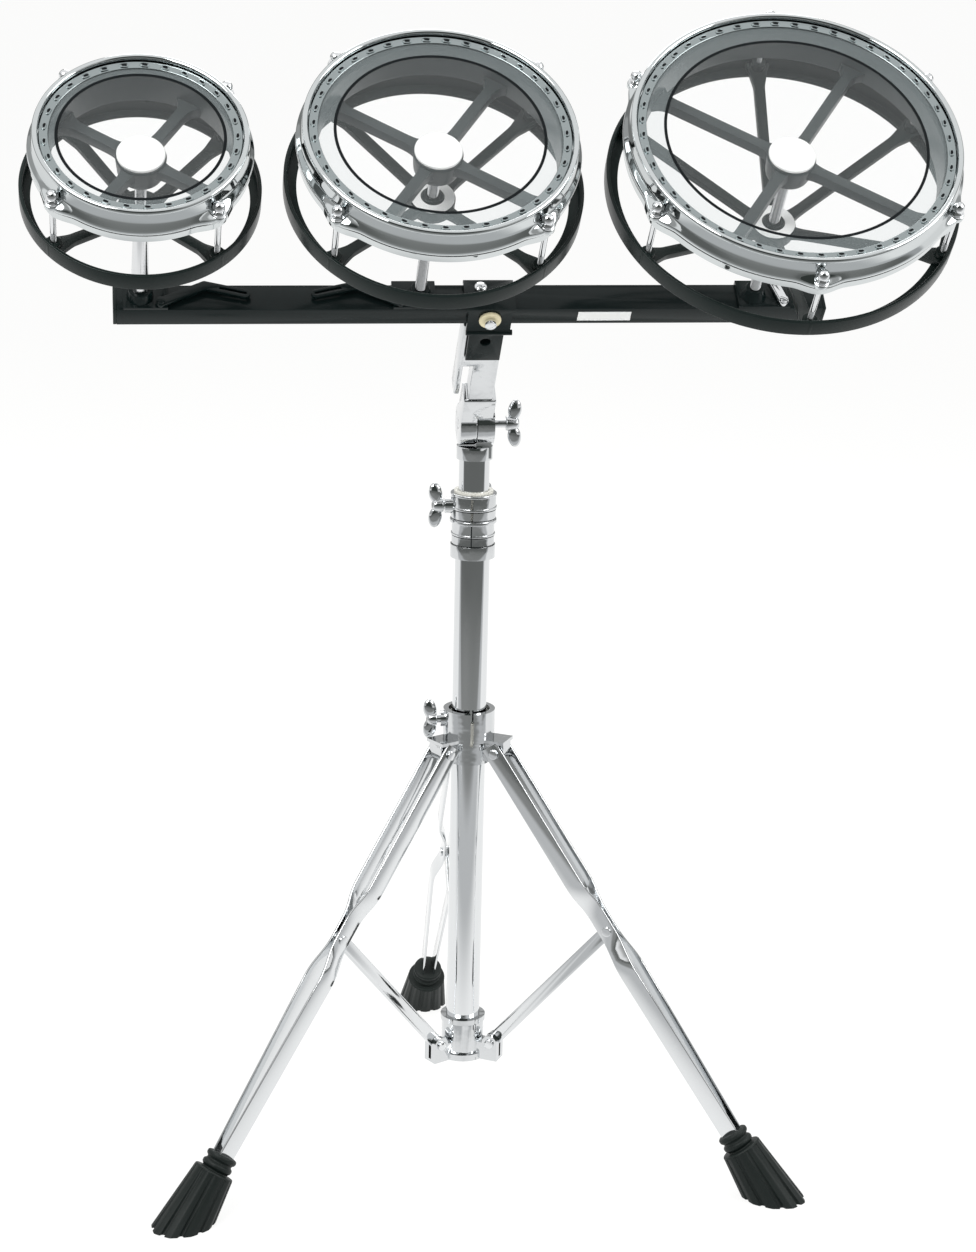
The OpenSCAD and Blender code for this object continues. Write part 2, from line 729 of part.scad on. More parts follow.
module bracket(i) {
    inside = rail_w / 2 + fit;
    top = rail_h / 2 + fit;
    long_side = lever_x[i] + pin_d / 2 + 3;
    width = bracket_side + long_side;
    start = lever_side[i] > 0 ? -bracket_side : -long_side;
    color(black_paint) at_drum(i) difference() {
        union() {
            translate([start, -rail_w / 2, top]) cube([width, rail_w + fit + bracket_t, bracket_t]);
            translate([start, inside, -top - bracket_t]) cube([width, bracket_t, 2 * (top + bracket_t)]);
            translate([start, inside - bracket_lip, -top - bracket_t])
                cube([width, bracket_lip + bracket_t, bracket_t]);
            translate([0, 0, top + bracket_t - weld])
                cylinder(d1 = boss_d, d2 = foot_sleeve_d[i] + 5, h = boss_h + weld);
        }
        translate([0, 0, top + bracket_t]) cylinder(d = spindle_d + 2 * fit, h = boss_h + 1);
        translate([lever_side[i] * lever_x[i], -lever_front, 0])
            cylinder(d = pin_d + 2 * fit, h = 2 * rail_h);
    }
}

module lever(i) {
    plate = rail_h / 2 + fit;
    plane = plate + bracket_t + slip;
    ends = lever_ends[i];
    last = len(ends) - 1;
    before = last > 0 ? ends[last - 1] : [0, 0];
    slot_end = ends[last] + 0.6 * (before - ends[last]);
    color(i == LARGE ? chrome : black_paint) at_drum(i)
        translate([lever_side[i] * lever_x[i], -lever_front, 0])
        scale([lever_side[i], 1, 1]) {
            translate([0, 0, plate + 0.3]) cylinder(d = pin_d, h = bracket_t - 0.3 + slip + weld);
            translate([0, 0, plane + lever_t - weld]) cylinder(d = lever_w - 1.5, h = 2.5 + weld);
            translate([0, 0, plane]) linear_extrude(lever_t) difference() {
                union() {
                    bar_2d([0, 0], ends[0], lever_w, lever_swell);
                    if (last > 0) bar_2d(before, ends[last], lever_w, lever_swell);
                }
                if (i != LARGE) bar_2d(ends[last], slot_end, lever_w / 3);
            }
        }
}

module spindle(i) {
    start = rail_h / 2 + fit + bracket_t;
    boss_top = start + boss_h;
    hub_top = head_z[i] - upper_hub_drop;
    hub_bottom = hub_top - upper_hub_h;
    sleeve_top = lower_hub_z[i] - lower_hub_h - 6;
    sleeve_tip_d = (foot_sleeve_d[i] + spindle_d) / 2;
    color(chrome) at_drum(i) {
        translate([0, 0, start + 0.2]) cylinder(d = spindle_d, h = hub_top - 1 - start - 0.2);
        translate([0, 0, hub_bottom - slip - 2]) cylinder(d = spindle_d + 7, h = 2);
        translate([0, 0, boss_top + 0.2])
            cylinder(d1 = foot_sleeve_d[i], d2 = sleeve_tip_d, h = sleeve_top - boss_top);
    }
}

// Lower frame, which the tuning thread raises and lowers

module lower_frame(i) {
    r = head_r[i];
    ring_top = head_z[i] - ring_drop;
    ring_z = ring_top - ring_h;
    hub_z = lower_hub_z[i] - lower_hub_h;
    from_r = lower_hub_d / 2 - 3;
    to_r = r + ring_out - ring_t;
    from_z = lower_hub_z[i] - lower_spoke_h / 2 - 1;
    to_z = ring_z + ring_h / 2;
    climb = atan2(to_z - from_z, to_r - from_r);
    spoke = norm([to_r - from_r, to_z - from_z]) + 1;
    color(black_paint) at_drum(i) difference() {
        union() {
            translate([0, 0, ring_z]) tube(2 * (r + ring_out), 2 * (r + ring_out - ring_t), ring_h);
            translate([0, 0, ring_z]) tube(2 * (r + ring_out - 1), 2 * (r + ring_out - ring_flange), ring_t);
            translate([0, 0, hub_z]) cylinder(d = lower_hub_d, h = lower_hub_h);
            intersection() {
                for (k = [0 : rods[i] - 1]) rotate([0, 0, first_rod[i] + k * 360 / rods[i]]) {
                    translate([from_r, 0, from_z]) rotate([0, -climb, 0])
                        translate([0, -lower_spoke_w / 2, -lower_spoke_h / 2])
                            cube([spoke, lower_spoke_w, lower_spoke_h]);
                    translate([r + rod_out, 0, ring_z + 1]) cylinder(d = rod_d + 8, h = ring_h - 4);
                }
                cylinder(r = r + ring_out - 0.2, h = 2 * head_z[i]);
            }
        }
        translate([0, 0, hub_z - 1]) cylinder(d = spindle_d + 2 * fit, h = lower_hub_h + 2);
        for (k = [0 : rods[i] - 1]) rotate([0, 0, first_rod[i] + k * 360 / rods[i]])
            translate([r + rod_out, 0, ring_z - 1]) cylinder(d = rod_d + 2 * fit, h = ring_h + 2);
    }
}

module tension_rods(i) {
    r = head_r[i] + rod_out;
    bottom = head_z[i] - ring_drop - ring_h + 2;
    seat = head_z[i] + hoop_bead_z + 2;
    color(chrome) at_drum(i) for (k = [0 : rods[i] - 1]) rotate([0, 0, first_rod[i] + k * 360 / rods[i]])
        translate([r, 0, 0]) {
            translate([0, 0, bottom]) cylinder(d = rod_d, h = seat + 3 - bottom);
            translate([0, 0, seat + 0.02]) cylinder(d = rod_d + 1.4, h = 1.6);
            translate([0, 0, seat + 1.5]) cylinder(d = rod_head_d - 2.4, h = 3.5);
            translate([0, 0, seat + 2 + rod_head_d / 2]) sphere(d = rod_head_d);
        }
}

// Upper frame, whose rim the head bears on

module upper_frame(i) {
    r = head_r[i] - bearing_gap;
    hub_top = head_z[i] - upper_hub_drop;
    rim_z = head_z[i] - rim_h;
    spoke_top = hub_top - 2;
    color(grey_paint) at_drum(i) difference() {
        union() {
            rotate_extrude($fn = 120) polygon([
                [r - rim_t, rim_z],
                [r - 1, rim_z],
                [r - 1, head_z[i] - 6],
                [r, head_z[i] - 4],
                [r - 0.8, head_z[i] - slip],
                [r - rim_t + 1, head_z[i] - slip - 2],
                [r - rim_t, head_z[i] - 6]
            ]);
            translate([0, 0, hub_top - upper_hub_h])
                cylinder(d1 = upper_hub_d - 5, d2 = upper_hub_d, h = upper_hub_h);
            for (k = [0 : upper_spokes - 1]) rotate([0, 0, first_upper_spoke + k * 360 / upper_spokes])
                translate([upper_hub_d / 2 - 5, -upper_spoke_w / 2, spoke_top - upper_spoke_h])
                    cube([r - rim_t - upper_hub_d / 2 + 6, upper_spoke_w, upper_spoke_h]);
        }
        translate([0, 0, hub_top - upper_hub_h - 1]) cylinder(d = spindle_d + 2 * fit, h = upper_hub_h + 2);
    }
}

module hub_cap(i) {
    edge = 1;
    color(white_cap) at_drum(i) translate([0, 0, head_z[i] - upper_hub_drop]) rotate_extrude() polygon([
        [0, 0],
        [hub_cap_d / 2, 0],
        [hub_cap_d / 2, hub_cap_t - edge],
        [hub_cap_d / 2 - edge, hub_cap_t],
        [0, hub_cap_t]
    ]);
}

module drumhead(i) {
    r = head_r[i];
    color(clear_film) at_drum(i) translate([0, 0, head_z[i]]) rotate_extrude($fn = 120) polygon([
        [0, 0],
        [r - 0.7, 0],
        [r - 0.7, -skirt_depth],
        [r - 0.7 + film_t, -skirt_depth],
        [r - 0.7 + film_t, film_t],
        [0, film_t]
    ]);
}

module flesh_hoop(i) {
    r = head_r[i] + 0.2;
    color(chrome) at_drum(i) translate([0, 0, head_z[i] + hoop_ledge_z - slip - flesh_h])
        tube(2 * (r + flesh_w), 2 * r, flesh_h);
}

module hoop_profile(r) {
    translate([r + 6, hoop_roll_z]) circle(d = hoop_roll_d, $fn = 32);
    translate([r + 6.6, hoop_flare_z]) square([hoop_wall, hoop_roll_z - hoop_flare_z]);
    translate([r + 1, hoop_ledge_z]) square([7, 1.6]);
    polygon([
        [r + 6.6, hoop_flare_z + 0.1],
        [r + 6.6 + hoop_wall, hoop_flare_z + 0.6],
        [r + 11.4, hoop_bead_z + 1],
        [r + 9.6, hoop_bead_z]
    ]);
    translate([r + 10.8, hoop_bead_z]) circle(d = hoop_bead_d, $fn = 32);
    translate([r + 9.8, hoop_skirt_z]) square([1.6, hoop_bead_z - hoop_skirt_z]);
}

module counterhoop(i) {
    r = head_r[i];
    ear = r + rod_out;
    ear_z = hoop_bead_z + 2;
    color(chrome) at_drum(i) translate([0, 0, head_z[i]]) difference() {
        union() {
            rotate_extrude($fn = 120) hoop_profile(r);
            difference() {
                for (k = [0 : rods[i] - 1]) rotate([0, 0, first_rod[i] + k * 360 / rods[i]]) {
                    translate([ear, 0, hoop_skirt_z + 2]) cylinder(d = ear_d, h = ear_z - hoop_skirt_z - 2);
                    translate([0, 0, ear_z - 3]) linear_extrude(3) polygon([
                        [r + 8, -22],
                        [ear, -ear_d / 2],
                        [ear, ear_d / 2],
                        [r + 8, 22]
                    ]);
                }
                translate([0, 0, hoop_skirt_z - 1]) cylinder(r = r + 10, h = -hoop_skirt_z + 10, $fn = 120);
            }
        }
        for (k = [0 : rods[i] - 1]) rotate([0, 0, first_rod[i] + k * 360 / rods[i]])
            translate([ear, 0, hoop_skirt_z - 1]) cylinder(d = rod_d + 2 * fit, h = -hoop_skirt_z + 10);
    }
}

base_tube();
bottom_casting();
casting_pins();
height_clamp();
clamp_bush();
clamp_wing_screw();
rear_wing_screw();
leg_collar();
collar_bush();
collar_pins();
collar_wing_screw();
leg(0);  // leg_back
leg(1);  // leg_left
leg(2);  // leg_right
brace(0);  // brace_back
brace(1);  // brace_left
brace(2);  // brace_right
foot(0);  // foot_back
foot(1);  // foot_left
foot(2);  // foot_right
upper_tube();
tilter_base();
tilter_head();
tilter_wing_bolt();
rail_receiver();
rail_saddle();
saddle_bolts();
saddle_washer();
rail();
rail_end_caps();
bracket(SMALL);  // small_bracket
lever(SMALL);  // small_lever
spindle(SMALL);  // small_spindle
lower_frame(SMALL);  // small_lower_frame
upper_frame(SMALL);  // small_upper_frame
hub_cap(SMALL);  // small_hub_cap
drumhead(SMALL);  // small_drumhead
flesh_hoop(SMALL);  // small_flesh_hoop
counterhoop(SMALL);  // small_counterhoop
tension_rods(SMALL);  // small_tension_rods
bracket(MIDDLE);  // middle_bracket
lever(MIDDLE);  // middle_lever
spindle(MIDDLE);  // middle_spindle
lower_frame(MIDDLE);  // middle_lower_frame
upper_frame(MIDDLE);  // middle_upper_frame
hub_cap(MIDDLE);  // middle_hub_cap
drumhead(MIDDLE);  // middle_drumhead
flesh_hoop(MIDDLE);  // middle_flesh_hoop
counterhoop(MIDDLE);  // middle_counterhoop
tension_rods(MIDDLE);  // middle_tension_rods
bracket(LARGE);  // large_bracket
lever(LARGE);  // large_lever
spindle(LARGE);  // large_spindle
lower_frame(LARGE);  // large_lower_frame
upper_frame(LARGE);  // large_upper_frame
hub_cap(LARGE);  // large_hub_cap
drumhead(LARGE);  // large_drumhead
flesh_hoop(LARGE);  // large_flesh_hoop
counterhoop(LARGE);  // large_counterhoop
tension_rods(LARGE);  // large_tension_rods
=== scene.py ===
"""Looks of a set of three tunable frame drums on a rail and a folding tripod stand."""

import math

import bmesh
import bpy
from mathutils import Matrix, Vector


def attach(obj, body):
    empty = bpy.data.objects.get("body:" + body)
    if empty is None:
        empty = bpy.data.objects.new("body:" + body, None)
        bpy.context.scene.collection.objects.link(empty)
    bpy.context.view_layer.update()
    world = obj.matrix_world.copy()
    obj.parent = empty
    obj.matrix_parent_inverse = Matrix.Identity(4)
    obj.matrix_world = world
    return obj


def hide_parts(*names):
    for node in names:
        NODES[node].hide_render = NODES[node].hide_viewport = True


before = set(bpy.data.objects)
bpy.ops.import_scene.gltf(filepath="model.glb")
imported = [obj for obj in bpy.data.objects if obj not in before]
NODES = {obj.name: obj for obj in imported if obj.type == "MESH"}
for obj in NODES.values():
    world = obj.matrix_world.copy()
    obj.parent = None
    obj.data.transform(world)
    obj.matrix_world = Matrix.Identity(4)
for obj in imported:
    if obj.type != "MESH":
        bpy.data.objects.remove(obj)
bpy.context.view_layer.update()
SCENE = bpy.context.scene

MM = 0.001
TURN = 2 * math.pi

# Places of the stand, in millimetres, with the column's axis as the middle
COLUMN = (13.6, 3.9)
TILTER_Z = 703.3
ARM = 166.0
HEAD_TILT = 40.0
CLAMP_TOP = 640.0
LOWER_TUBE = {"inner": 14.375, "outer": 15.875, "bottom": 89.0, "top": 612.0}
INNER_TUBE = {"inner": 12.375, "outer": 13.875, "length": 360, "top": TILTER_Z - 31.8 + 9}
COLLAR_PIVOT = (30.0, 396.13)

# Legs, in millimetres down from the collar's pin
LEG_ANGLE = 35.56
LEG_UPPER = 196.15
FOOT_TOP = 416.95
FOOT_GROOVES, FOOT_GROOVE_DEPTH, FOOT_FLARE = 10, 2.4, 18.4
STRIP_W, STRIP_T, STRIP_SPREAD, FOOT_SPREAD = 17.0, 2.4, 10.9, 4.6
STRIP_END = 442.95
PINCH = 3.0
RIVET_R, RIVET_CORE_R, RIVET_HIGH = 4.6, 3.0, 1.7
LEGS = {"back": 90, "left": 210, "right": 330}

# Rail and drums, in millimetres
RAIL_W, RAIL_H = 26.6, 18.8
ROD_OUT = 14.0
RING_OUT, RING_DROP, RING_H = 20.0, 55.0, 15.5
HUB_DROP, HUB_H, RIM_H = 21.5, 21.0, 34.0
DRUMS = {
    "small": {"r": 76.2, "x": -301, "head": 203, "hub": 122, "rods": 4, "rod": -50, "line": 65.7},
    "middle": {"r": 101.6, "x": -66, "head": 208.5, "hub": 135, "rods": 4, "rod": -48, "line": 83.7},
    "large": {"r": 127, "x": 223, "head": 206, "hub": 105, "rods": 6, "rod": -90, "line": 107.2},
}
UPPER_SPOKE = -34
EAR_SPREAD, EAR_PUSH, EAR_DROP = 24.0, 5.2, 0.6
HOOP_BEAD_TOP = -8.8
CRIMP_STEP = 16.5
CRIMP_PRESS = 0.5
TUNING_PITCH, ROD_PITCH = 1.588, 1.0

# The photograph's viewpoint, with its focal length and height in pixels
VIEW_TURN, VIEW_PITCH, VIEW_ROLL = math.radians(8.35), math.radians(16.326), math.radians(1.315)
VIEW_PLACE = (-347.5, -2475.8, 1245.6)
VIEW_FOCUS, VIEW_HEIGHT, SENSOR = 2829.3, 1252, 36.0

# The studio
PAPER = (0.86, 0.86, 0.855)
PAPER_GLOW = 0.8
PAPER_WHITE = 1.07
FLOOR_SHADE = (0.42, 0.43, 0.44)
ROOM = (0.045, 0.052, 0.048)
SKY_LIGHT = 0.8


# Working with the tools

def deselect():
    bpy.ops.object.select_all(action="DESELECT")


def pick(*pieces):
    deselect()
    for piece in pieces:
        piece.select_set(True)
    bpy.context.view_layer.objects.active = pieces[0]


def new_piece(name):
    piece = bpy.context.view_layer.objects.active
    piece.name = name
    piece.data.name = name
    return piece


def edit(piece):
    """Edit mode with everything selected."""
    pick(piece)
    bpy.ops.object.mode_set(mode="EDIT")
    bpy.ops.mesh.select_all(action="SELECT")


def leave():
    bpy.ops.object.mode_set(mode="OBJECT")


def wire(name, points, closed=True):
    """A line of vertices through the points, in millimetres."""
    deselect()
    bpy.ops.mesh.primitive_circle_add(vertices=len(points), radius=1, fill_type="NOTHING")
    piece = new_piece(name)
    for vertex, point in zip(piece.data.vertices, points):
        vertex.co = Vector(point) * MM
    if not closed:
        edit(piece)
        bpy.ops.mesh.select_mode(type="EDGE")
        shape = bmesh.from_edit_mesh(piece.data)
        last = len(points) - 1
        for edge in shape.edges:
            edge.select_set({v.index for v in edge.verts} == {0, last})
        bmesh.update_edit_mesh(piece.data)
        bpy.ops.mesh.delete(type="EDGE")
        bpy.ops.mesh.select_mode(type="VERT")
        leave()
    return piece


def lathe(name, profile, steps=96, closed=False):
    """Spins (radius, height) points round Z. A closed profile makes a ring."""
    piece = wire(name, [(r, 0, z) for r, z in profile], closed)
    edit(piece)
    bpy.ops.mesh.spin(steps=steps, angle=TURN, center=(0, 0, 0), axis=(0, 0, 1))
    bpy.ops.mesh.select_all(action="SELECT")
    bpy.ops.mesh.remove_doubles(threshold=1e-6)
    bpy.ops.mesh.normals_make_consistent(inside=False)
    leave()
    return piece


def rounded(points, radius, closed=False, bits=3):
    """The same line of 2D points with its corners rounded."""
    made = []
    count = len(points)
    for i, point in enumerate(points):
        if not closed and i in (0, count - 1):
            made.append(point)
            continue
        here = Vector(point)
        before = Vector(points[i - 1]) - here
        after = Vector(points[(i + 1) % count]) - here
        size = min(radius, before.length * 0.45, after.length * 0.45)
        if size < 0.02 or before.length == 0 or after.length == 0:
            made.append(point)
            continue
        start = here + before.normalized() * size
        end = here + after.normalized() * size
        for k in range(bits + 1):
            t = k / bits
            made.append(tuple(start * (1 - t) ** 2 + here * 2 * t * (1 - t) + end * t ** 2))
    return made


def bevelled(piece, width, segments=2, angle=30):
    """Rounds the edges that turn by more than the angle."""
    pick(piece)
    bevel = piece.modifiers.new("edges", "BEVEL")
    bevel.width = width * MM
    bevel.segments = segments
    bevel.limit_method = "ANGLE"
    bevel.angle_limit = math.radians(angle)
    bpy.ops.object.modifier_apply(modifier=bevel.name)
    return piece


def slab(name, outline, thickness, z=0.0, bevel=0.4, segments=2):
    """A flat outline in the XY plane, raised to a thickness."""
    piece = wire(name, [(x, y, z) for x, y in outline])
    edit(piece)
    bpy.ops.mesh.edge_face_add()
    bpy.ops.mesh.extrude_region_move(TRANSFORM_OT_translate={"value": (0, 0, thickness * MM)})
    bpy.ops.mesh.select_all(action="SELECT")
    bpy.ops.mesh.normals_make_consistent(inside=False)
    leave()
    return bevelled(piece, bevel, segments) if bevel else piece


def block(name, low, high, bevel=0.5, segments=2):
    """A cube between two corners, with worked edges."""
    low, high = Vector(low) * MM, Vector(high) * MM
    deselect()
    bpy.ops.mesh.primitive_cube_add(size=1, location=(0, 0, 0))
    piece = new_piece(name)
    middle, size = (low + high) / 2, high - low
    piece.data.transform(Matrix.Translation(middle) @ Matrix.Diagonal((*size, 1)))
    return bevelled(piece, bevel, segments) if bevel else piece


def rod(name, radius, start, end, steps=32, chamfer=0.4):
    """A cylinder along Z with turned ends."""
    profile = rounded([(0, start), (radius, start), (radius, end), (0, end)], chamfer)
    return lathe(name, profile, steps)


def moved(piece, matrix):
    """Transforms the mesh itself, and turns its faces out again where a mirror turned them in."""
    piece.data.transform(matrix)
    if matrix.determinant() < 0:
        edit(piece)
        bpy.ops.mesh.normals_make_consistent(inside=False)
        leave()
    return piece


def shifted(piece, x, y, z):
    return moved(piece, Matrix.Translation(Vector((x, y, z)) * MM))


def turned(piece, degrees, axis="Z"):
    return moved(piece, Matrix.Rotation(math.radians(degrees), 4, axis))


def copied(piece, name):
    twin = piece.copy()
    twin.data = piece.data.copy()
    twin.name = name
    SCENE.collection.objects.link(twin)
    return twin


def joined(name, pieces):
    pick(*pieces)
    if len(pieces) > 1:
        bpy.ops.object.join()
    return new_piece(name)


def ring_of(name, make, count, first=0.0):
    """Copies of one piece, turned round Z and joined."""
    model = make()
    pieces = [turned(copied(model, f"{name}_{k}"), first + k * 360 / count) for k in range(count)]
    bpy.data.objects.remove(model)
    return joined(name, pieces)


def refined(node, name, bevel=0.4, segments=2, angle=28):
    """A copy of a plain solid with its doubles merged and its edges worked."""
    source = NODES[node]
    piece = source.copy()
    piece.data = source.data.copy()
    piece.parent = None
    for key in list(piece.keys()):
        del piece[key]
    piece.name = name
    SCENE.collection.objects.link(piece)
    pick(piece)
    bpy.ops.mesh.customdata_custom_splitnormals_clear()
    edit(piece)
    bpy.ops.mesh.remove_doubles(threshold=2e-6)
    bpy.ops.mesh.dissolve_limited(angle_limit=math.radians(0.6))
    leave()
    if bevel:
        bevelled(piece, bevel, segments, angle)
    return piece


# Places: millimetres on a body to metres in the frame

def at_column():
    return Matrix.Translation((COLUMN[0] * MM, COLUMN[1] * MM, 0))


def at_leg(azimuth):
    return at_column() @ Matrix.Rotation(math.radians(azimuth), 4, "Z")


def along_leg(azimuth):
    place = Matrix.Translation((COLLAR_PIVOT[0] * MM, 0, COLLAR_PIVOT[1] * MM))
    return at_leg(azimuth) @ place @ Matrix.Rotation(math.radians(-LEG_ANGLE), 4, "Y")


def at_tilter():
    lift = Matrix.Translation((0, 0, TILTER_Z * MM))
    return at_column() @ lift @ Matrix.Rotation(math.radians(HEAD_TILT), 4, "X")


def at_rail():
    return at_tilter() @ Matrix.Translation((0, 0, ARM * MM))


def at_drum(drum):
    return at_rail() @ Matrix.Translation((DRUMS[drum]["x"] * MM, 0, 0))


def at_head(drum, drop=0.0):
    """The plane of a drum's film, or as far under it as the drop."""
    return at_drum(drum) @ Matrix.Translation((0, 0, (DRUMS[drum]["head"] - drop) * MM))


# Finishes

def group_of(name, inputs, outputs):
    group = bpy.data.node_groups.new(name, "ShaderNodeTree")
    for label, kind, value in inputs:
        socket = group.interface.new_socket(label, in_out="INPUT", socket_type=kind)
        if value is not None:
            socket.default_value = value
    for label, kind in outputs:
        group.interface.new_socket(label, in_out="OUTPUT", socket_type=kind)
    return group, group.nodes.new("NodeGroupInput"), group.nodes.new("NodeGroupOutput")


def handling_marks():
    """Soft smears and fine grain: a roughness that varies, and a height for bump."""
    group, given, out = group_of(
        "handling_marks",
        [
            ("Vector", "NodeSocketVector", None),
            ("Roughness", "NodeSocketFloat", 0.1),
            ("Spread", "NodeSocketFloat", 0.05),
            ("Smear Scale", "NodeSocketFloat", 30.0),
            ("Grain Scale", "NodeSocketFloat", 900.0),
        ],
        [("Roughness", "NodeSocketFloat"), ("Height", "NodeSocketFloat")],
    )
    link = group.links.new
    smear = group.nodes.new("ShaderNodeTexNoise")
    smear.inputs["Detail"].default_value = 5
    grain = group.nodes.new("ShaderNodeTexNoise")
    grain.inputs["Detail"].default_value = 2
    centred = group.nodes.new("ShaderNodeMath")
    centred.operation = "SUBTRACT"
    centred.inputs[1].default_value = 0.45
    spread = group.nodes.new("ShaderNodeMath")
    spread.operation = "MULTIPLY_ADD"
    spread.use_clamp = True
    link(given.outputs["Vector"], smear.inputs["Vector"])
    link(given.outputs["Vector"], grain.inputs["Vector"])
    link(given.outputs["Smear Scale"], smear.inputs["Scale"])
    link(given.outputs["Grain Scale"], grain.inputs["Scale"])
    link(smear.outputs["Fac"], centred.inputs[0])
    link(centred.outputs[0], spread.inputs[0])
    link(given.outputs["Spread"], spread.inputs[1])
    link(given.outputs["Roughness"], spread.inputs[2])
    link(spread.outputs[0], out.inputs["Roughness"])
    link(grain.outputs["Fac"], out.inputs["Height"])
    return group


def settled_dust():
    """A colour that is a little paler where the surface faces up."""
    group, given, out = group_of(
        "settled_dust",
        [
            ("Vector", "NodeSocketVector", None),
            ("Color", "NodeSocketColor", (0.5, 0.5, 0.5, 1)),
            ("Dust Color", "NodeSocketColor", (0.6, 0.6, 0.58, 1)),
            ("Amount", "NodeSocketFloat", 0.1),
            ("Scale", "NodeSocketFloat", 60.0),
        ],
        [("Color", "NodeSocketColor")],
    )
    link = group.links.new
    surface = group.nodes.new("ShaderNodeNewGeometry")
    split = group.nodes.new("ShaderNodeSeparateXYZ")
    patches = group.nodes.new("ShaderNodeTexNoise")
    patches.inputs["Detail"].default_value = 6
    up = group.nodes.new("ShaderNodeMath")
    up.operation = "MULTIPLY"
    up.use_clamp = True
    share = group.nodes.new("ShaderNodeMath")
    share.operation = "MULTIPLY"
    share.use_clamp = True
    mix = group.nodes.new("ShaderNodeMix")
    mix.data_type = "RGBA"
    link(surface.outputs["Normal"], split.inputs[0])
    link(given.outputs["Vector"], patches.inputs["Vector"])
    link(given.outputs["Scale"], patches.inputs["Scale"])
    link(split.outputs["Z"], up.inputs[0])
    link(patches.outputs["Fac"], up.inputs[1])
    link(up.outputs[0], share.inputs[0])
    link(given.outputs["Amount"], share.inputs[1])
    link(share.outputs[0], mix.inputs["Factor"])
    link(given.outputs["Color"], mix.inputs["A"])
    link(given.outputs["Dust Color"], mix.inputs["B"])
    link(mix.outputs["Result"], out.inputs["Color"])
    return group


MARKS = handling_marks()
DUST = settled_dust()


def finish_of(name, color, metallic=0.0, roughness=0.3, spread=0.1, smear=30.0, grain=900.0, bump=0.0,
              dust=0.0, coat=0.0, specular=None, alpha=None, depth=0.0002):
    """A material with marks, grain and a trace of dust."""
    material = bpy.data.materials.new(name)
    material.use_nodes = True
    nodes, link = material.node_tree.nodes, material.node_tree.links.new
    shader = nodes["Principled BSDF"]
    shader.inputs["Metallic"].default_value = metallic
    shader.inputs["Coat Weight"].default_value = coat
    shader.inputs["Coat Roughness"].default_value = 0.04
    if specular is not None:
        shader.inputs["Specular IOR Level"].default_value = specular
    if alpha is not None:
        shader.inputs["Alpha"].default_value = alpha
    where = nodes.new("ShaderNodeTexCoord")
    marks = nodes.new("ShaderNodeGroup")
    marks.node_tree = MARKS
    marks.inputs["Roughness"].default_value = roughness
    marks.inputs["Spread"].default_value = spread
    marks.inputs["Smear Scale"].default_value = smear
    marks.inputs["Grain Scale"].default_value = grain
    link(where.outputs["Object"], marks.inputs["Vector"])
    link(marks.outputs["Roughness"], shader.inputs["Roughness"])
    tint = nodes.new("ShaderNodeGroup")
    tint.node_tree = DUST
    tint.inputs["Color"].default_value = (*color, 1)
    tint.inputs["Amount"].default_value = dust
    link(where.outputs["Object"], tint.inputs["Vector"])
    link(tint.outputs["Color"], shader.inputs["Base Color"])
    if bump:
        raised = nodes.new("ShaderNodeBump")
        raised.inputs["Strength"].default_value = bump
        raised.inputs["Distance"].default_value = depth
        link(marks.outputs["Height"], raised.inputs["Height"])
        link(raised.outputs["Normal"], shader.inputs["Normal"])
    return material


CHROME = finish_of("bright_chrome", (0.74, 0.755, 0.765), 1.0, 0.05, 0.06, 24, 700)
CAST_CHROME = finish_of("cast_chrome", (0.66, 0.675, 0.685), 1.0, 0.08, 0.08, 40, 70, bump=0.6,
                        depth=0.0008)
PRESSED_CHROME = finish_of("pressed_chrome", (0.74, 0.755, 0.765), 1.0, 0.07, 0.08, 30, 300, bump=0.05)
HOOP_CHROME = finish_of("hoop_chrome", (0.62, 0.65, 0.655), 1.0, 0.04, 0.05, 20, 500)
CRIMPED_RIM = finish_of("crimped_rim", (0.34, 0.38, 0.385), 1.0, 0.16, 0.12, 60, 900, bump=0.1)
THREAD_STEEL = finish_of("thread_steel", (0.72, 0.73, 0.74), 1.0, 0.16, 0.10, 60, 700)
PLAIN_ALUMINIUM = finish_of("plain_aluminium", (0.80, 0.81, 0.82), 1.0, 0.22, 0.12, 60, 900, bump=0.1)
BLACK_PAINT = finish_of("black_paint", (0.004, 0.009, 0.009), 0.0, 0.18, 0.12, 26, 420, bump=0.10,
                        dust=0.012, coat=0.03, specular=0.18)
BLACK_CASTING = finish_of("black_casting", (0.006, 0.012, 0.011), 0.0, 0.30, 0.16, 34, 380, bump=0.3,
                          dust=0.015, specular=0.2)
GREY_CASTING = finish_of("grey_casting", (0.026, 0.035, 0.036), 0.0, 0.34, 0.14, 34, 420, bump=0.3,
                         dust=0.03, specular=0.3)
RUBBER = finish_of("black_rubber", (0.006, 0.010, 0.009), 0.0, 0.5, 0.16, 40, 500, bump=0.3,
                   dust=0.02, specular=0.22)
NYLON = finish_of("natural_nylon", (0.80, 0.79, 0.72), 0.0, 0.38, 0.1, 40, 500, bump=0.1)
WASHER = finish_of("pale_washer", (0.80, 0.72, 0.48), 0.0, 0.32, 0.1, 50, 500, bump=0.1)
WHITE_CAP = finish_of("white_cap", (0.86, 0.87, 0.86), 0.0, 0.24, 0.08, 40, 500, bump=0.05)
# Plain black for the film's line and the clamp's joints, and also for the painted shadows on the crimp
# tabs.
BLACK_LINE = finish_of("black_line", (0.002, 0.004, 0.005), 0.0, 0.4, 0.05, specular=0.12)
HAZY_FILM = finish_of("hazy_film", (0.46, 0.52, 0.53), 0.0, 0.16, 0.05, alpha=0.13, specular=0.3)
CLEAR_FILM = finish_of("clear_film", (0.80, 0.84, 0.85), 0.0, 0.05, 0.02, alpha=0.03)


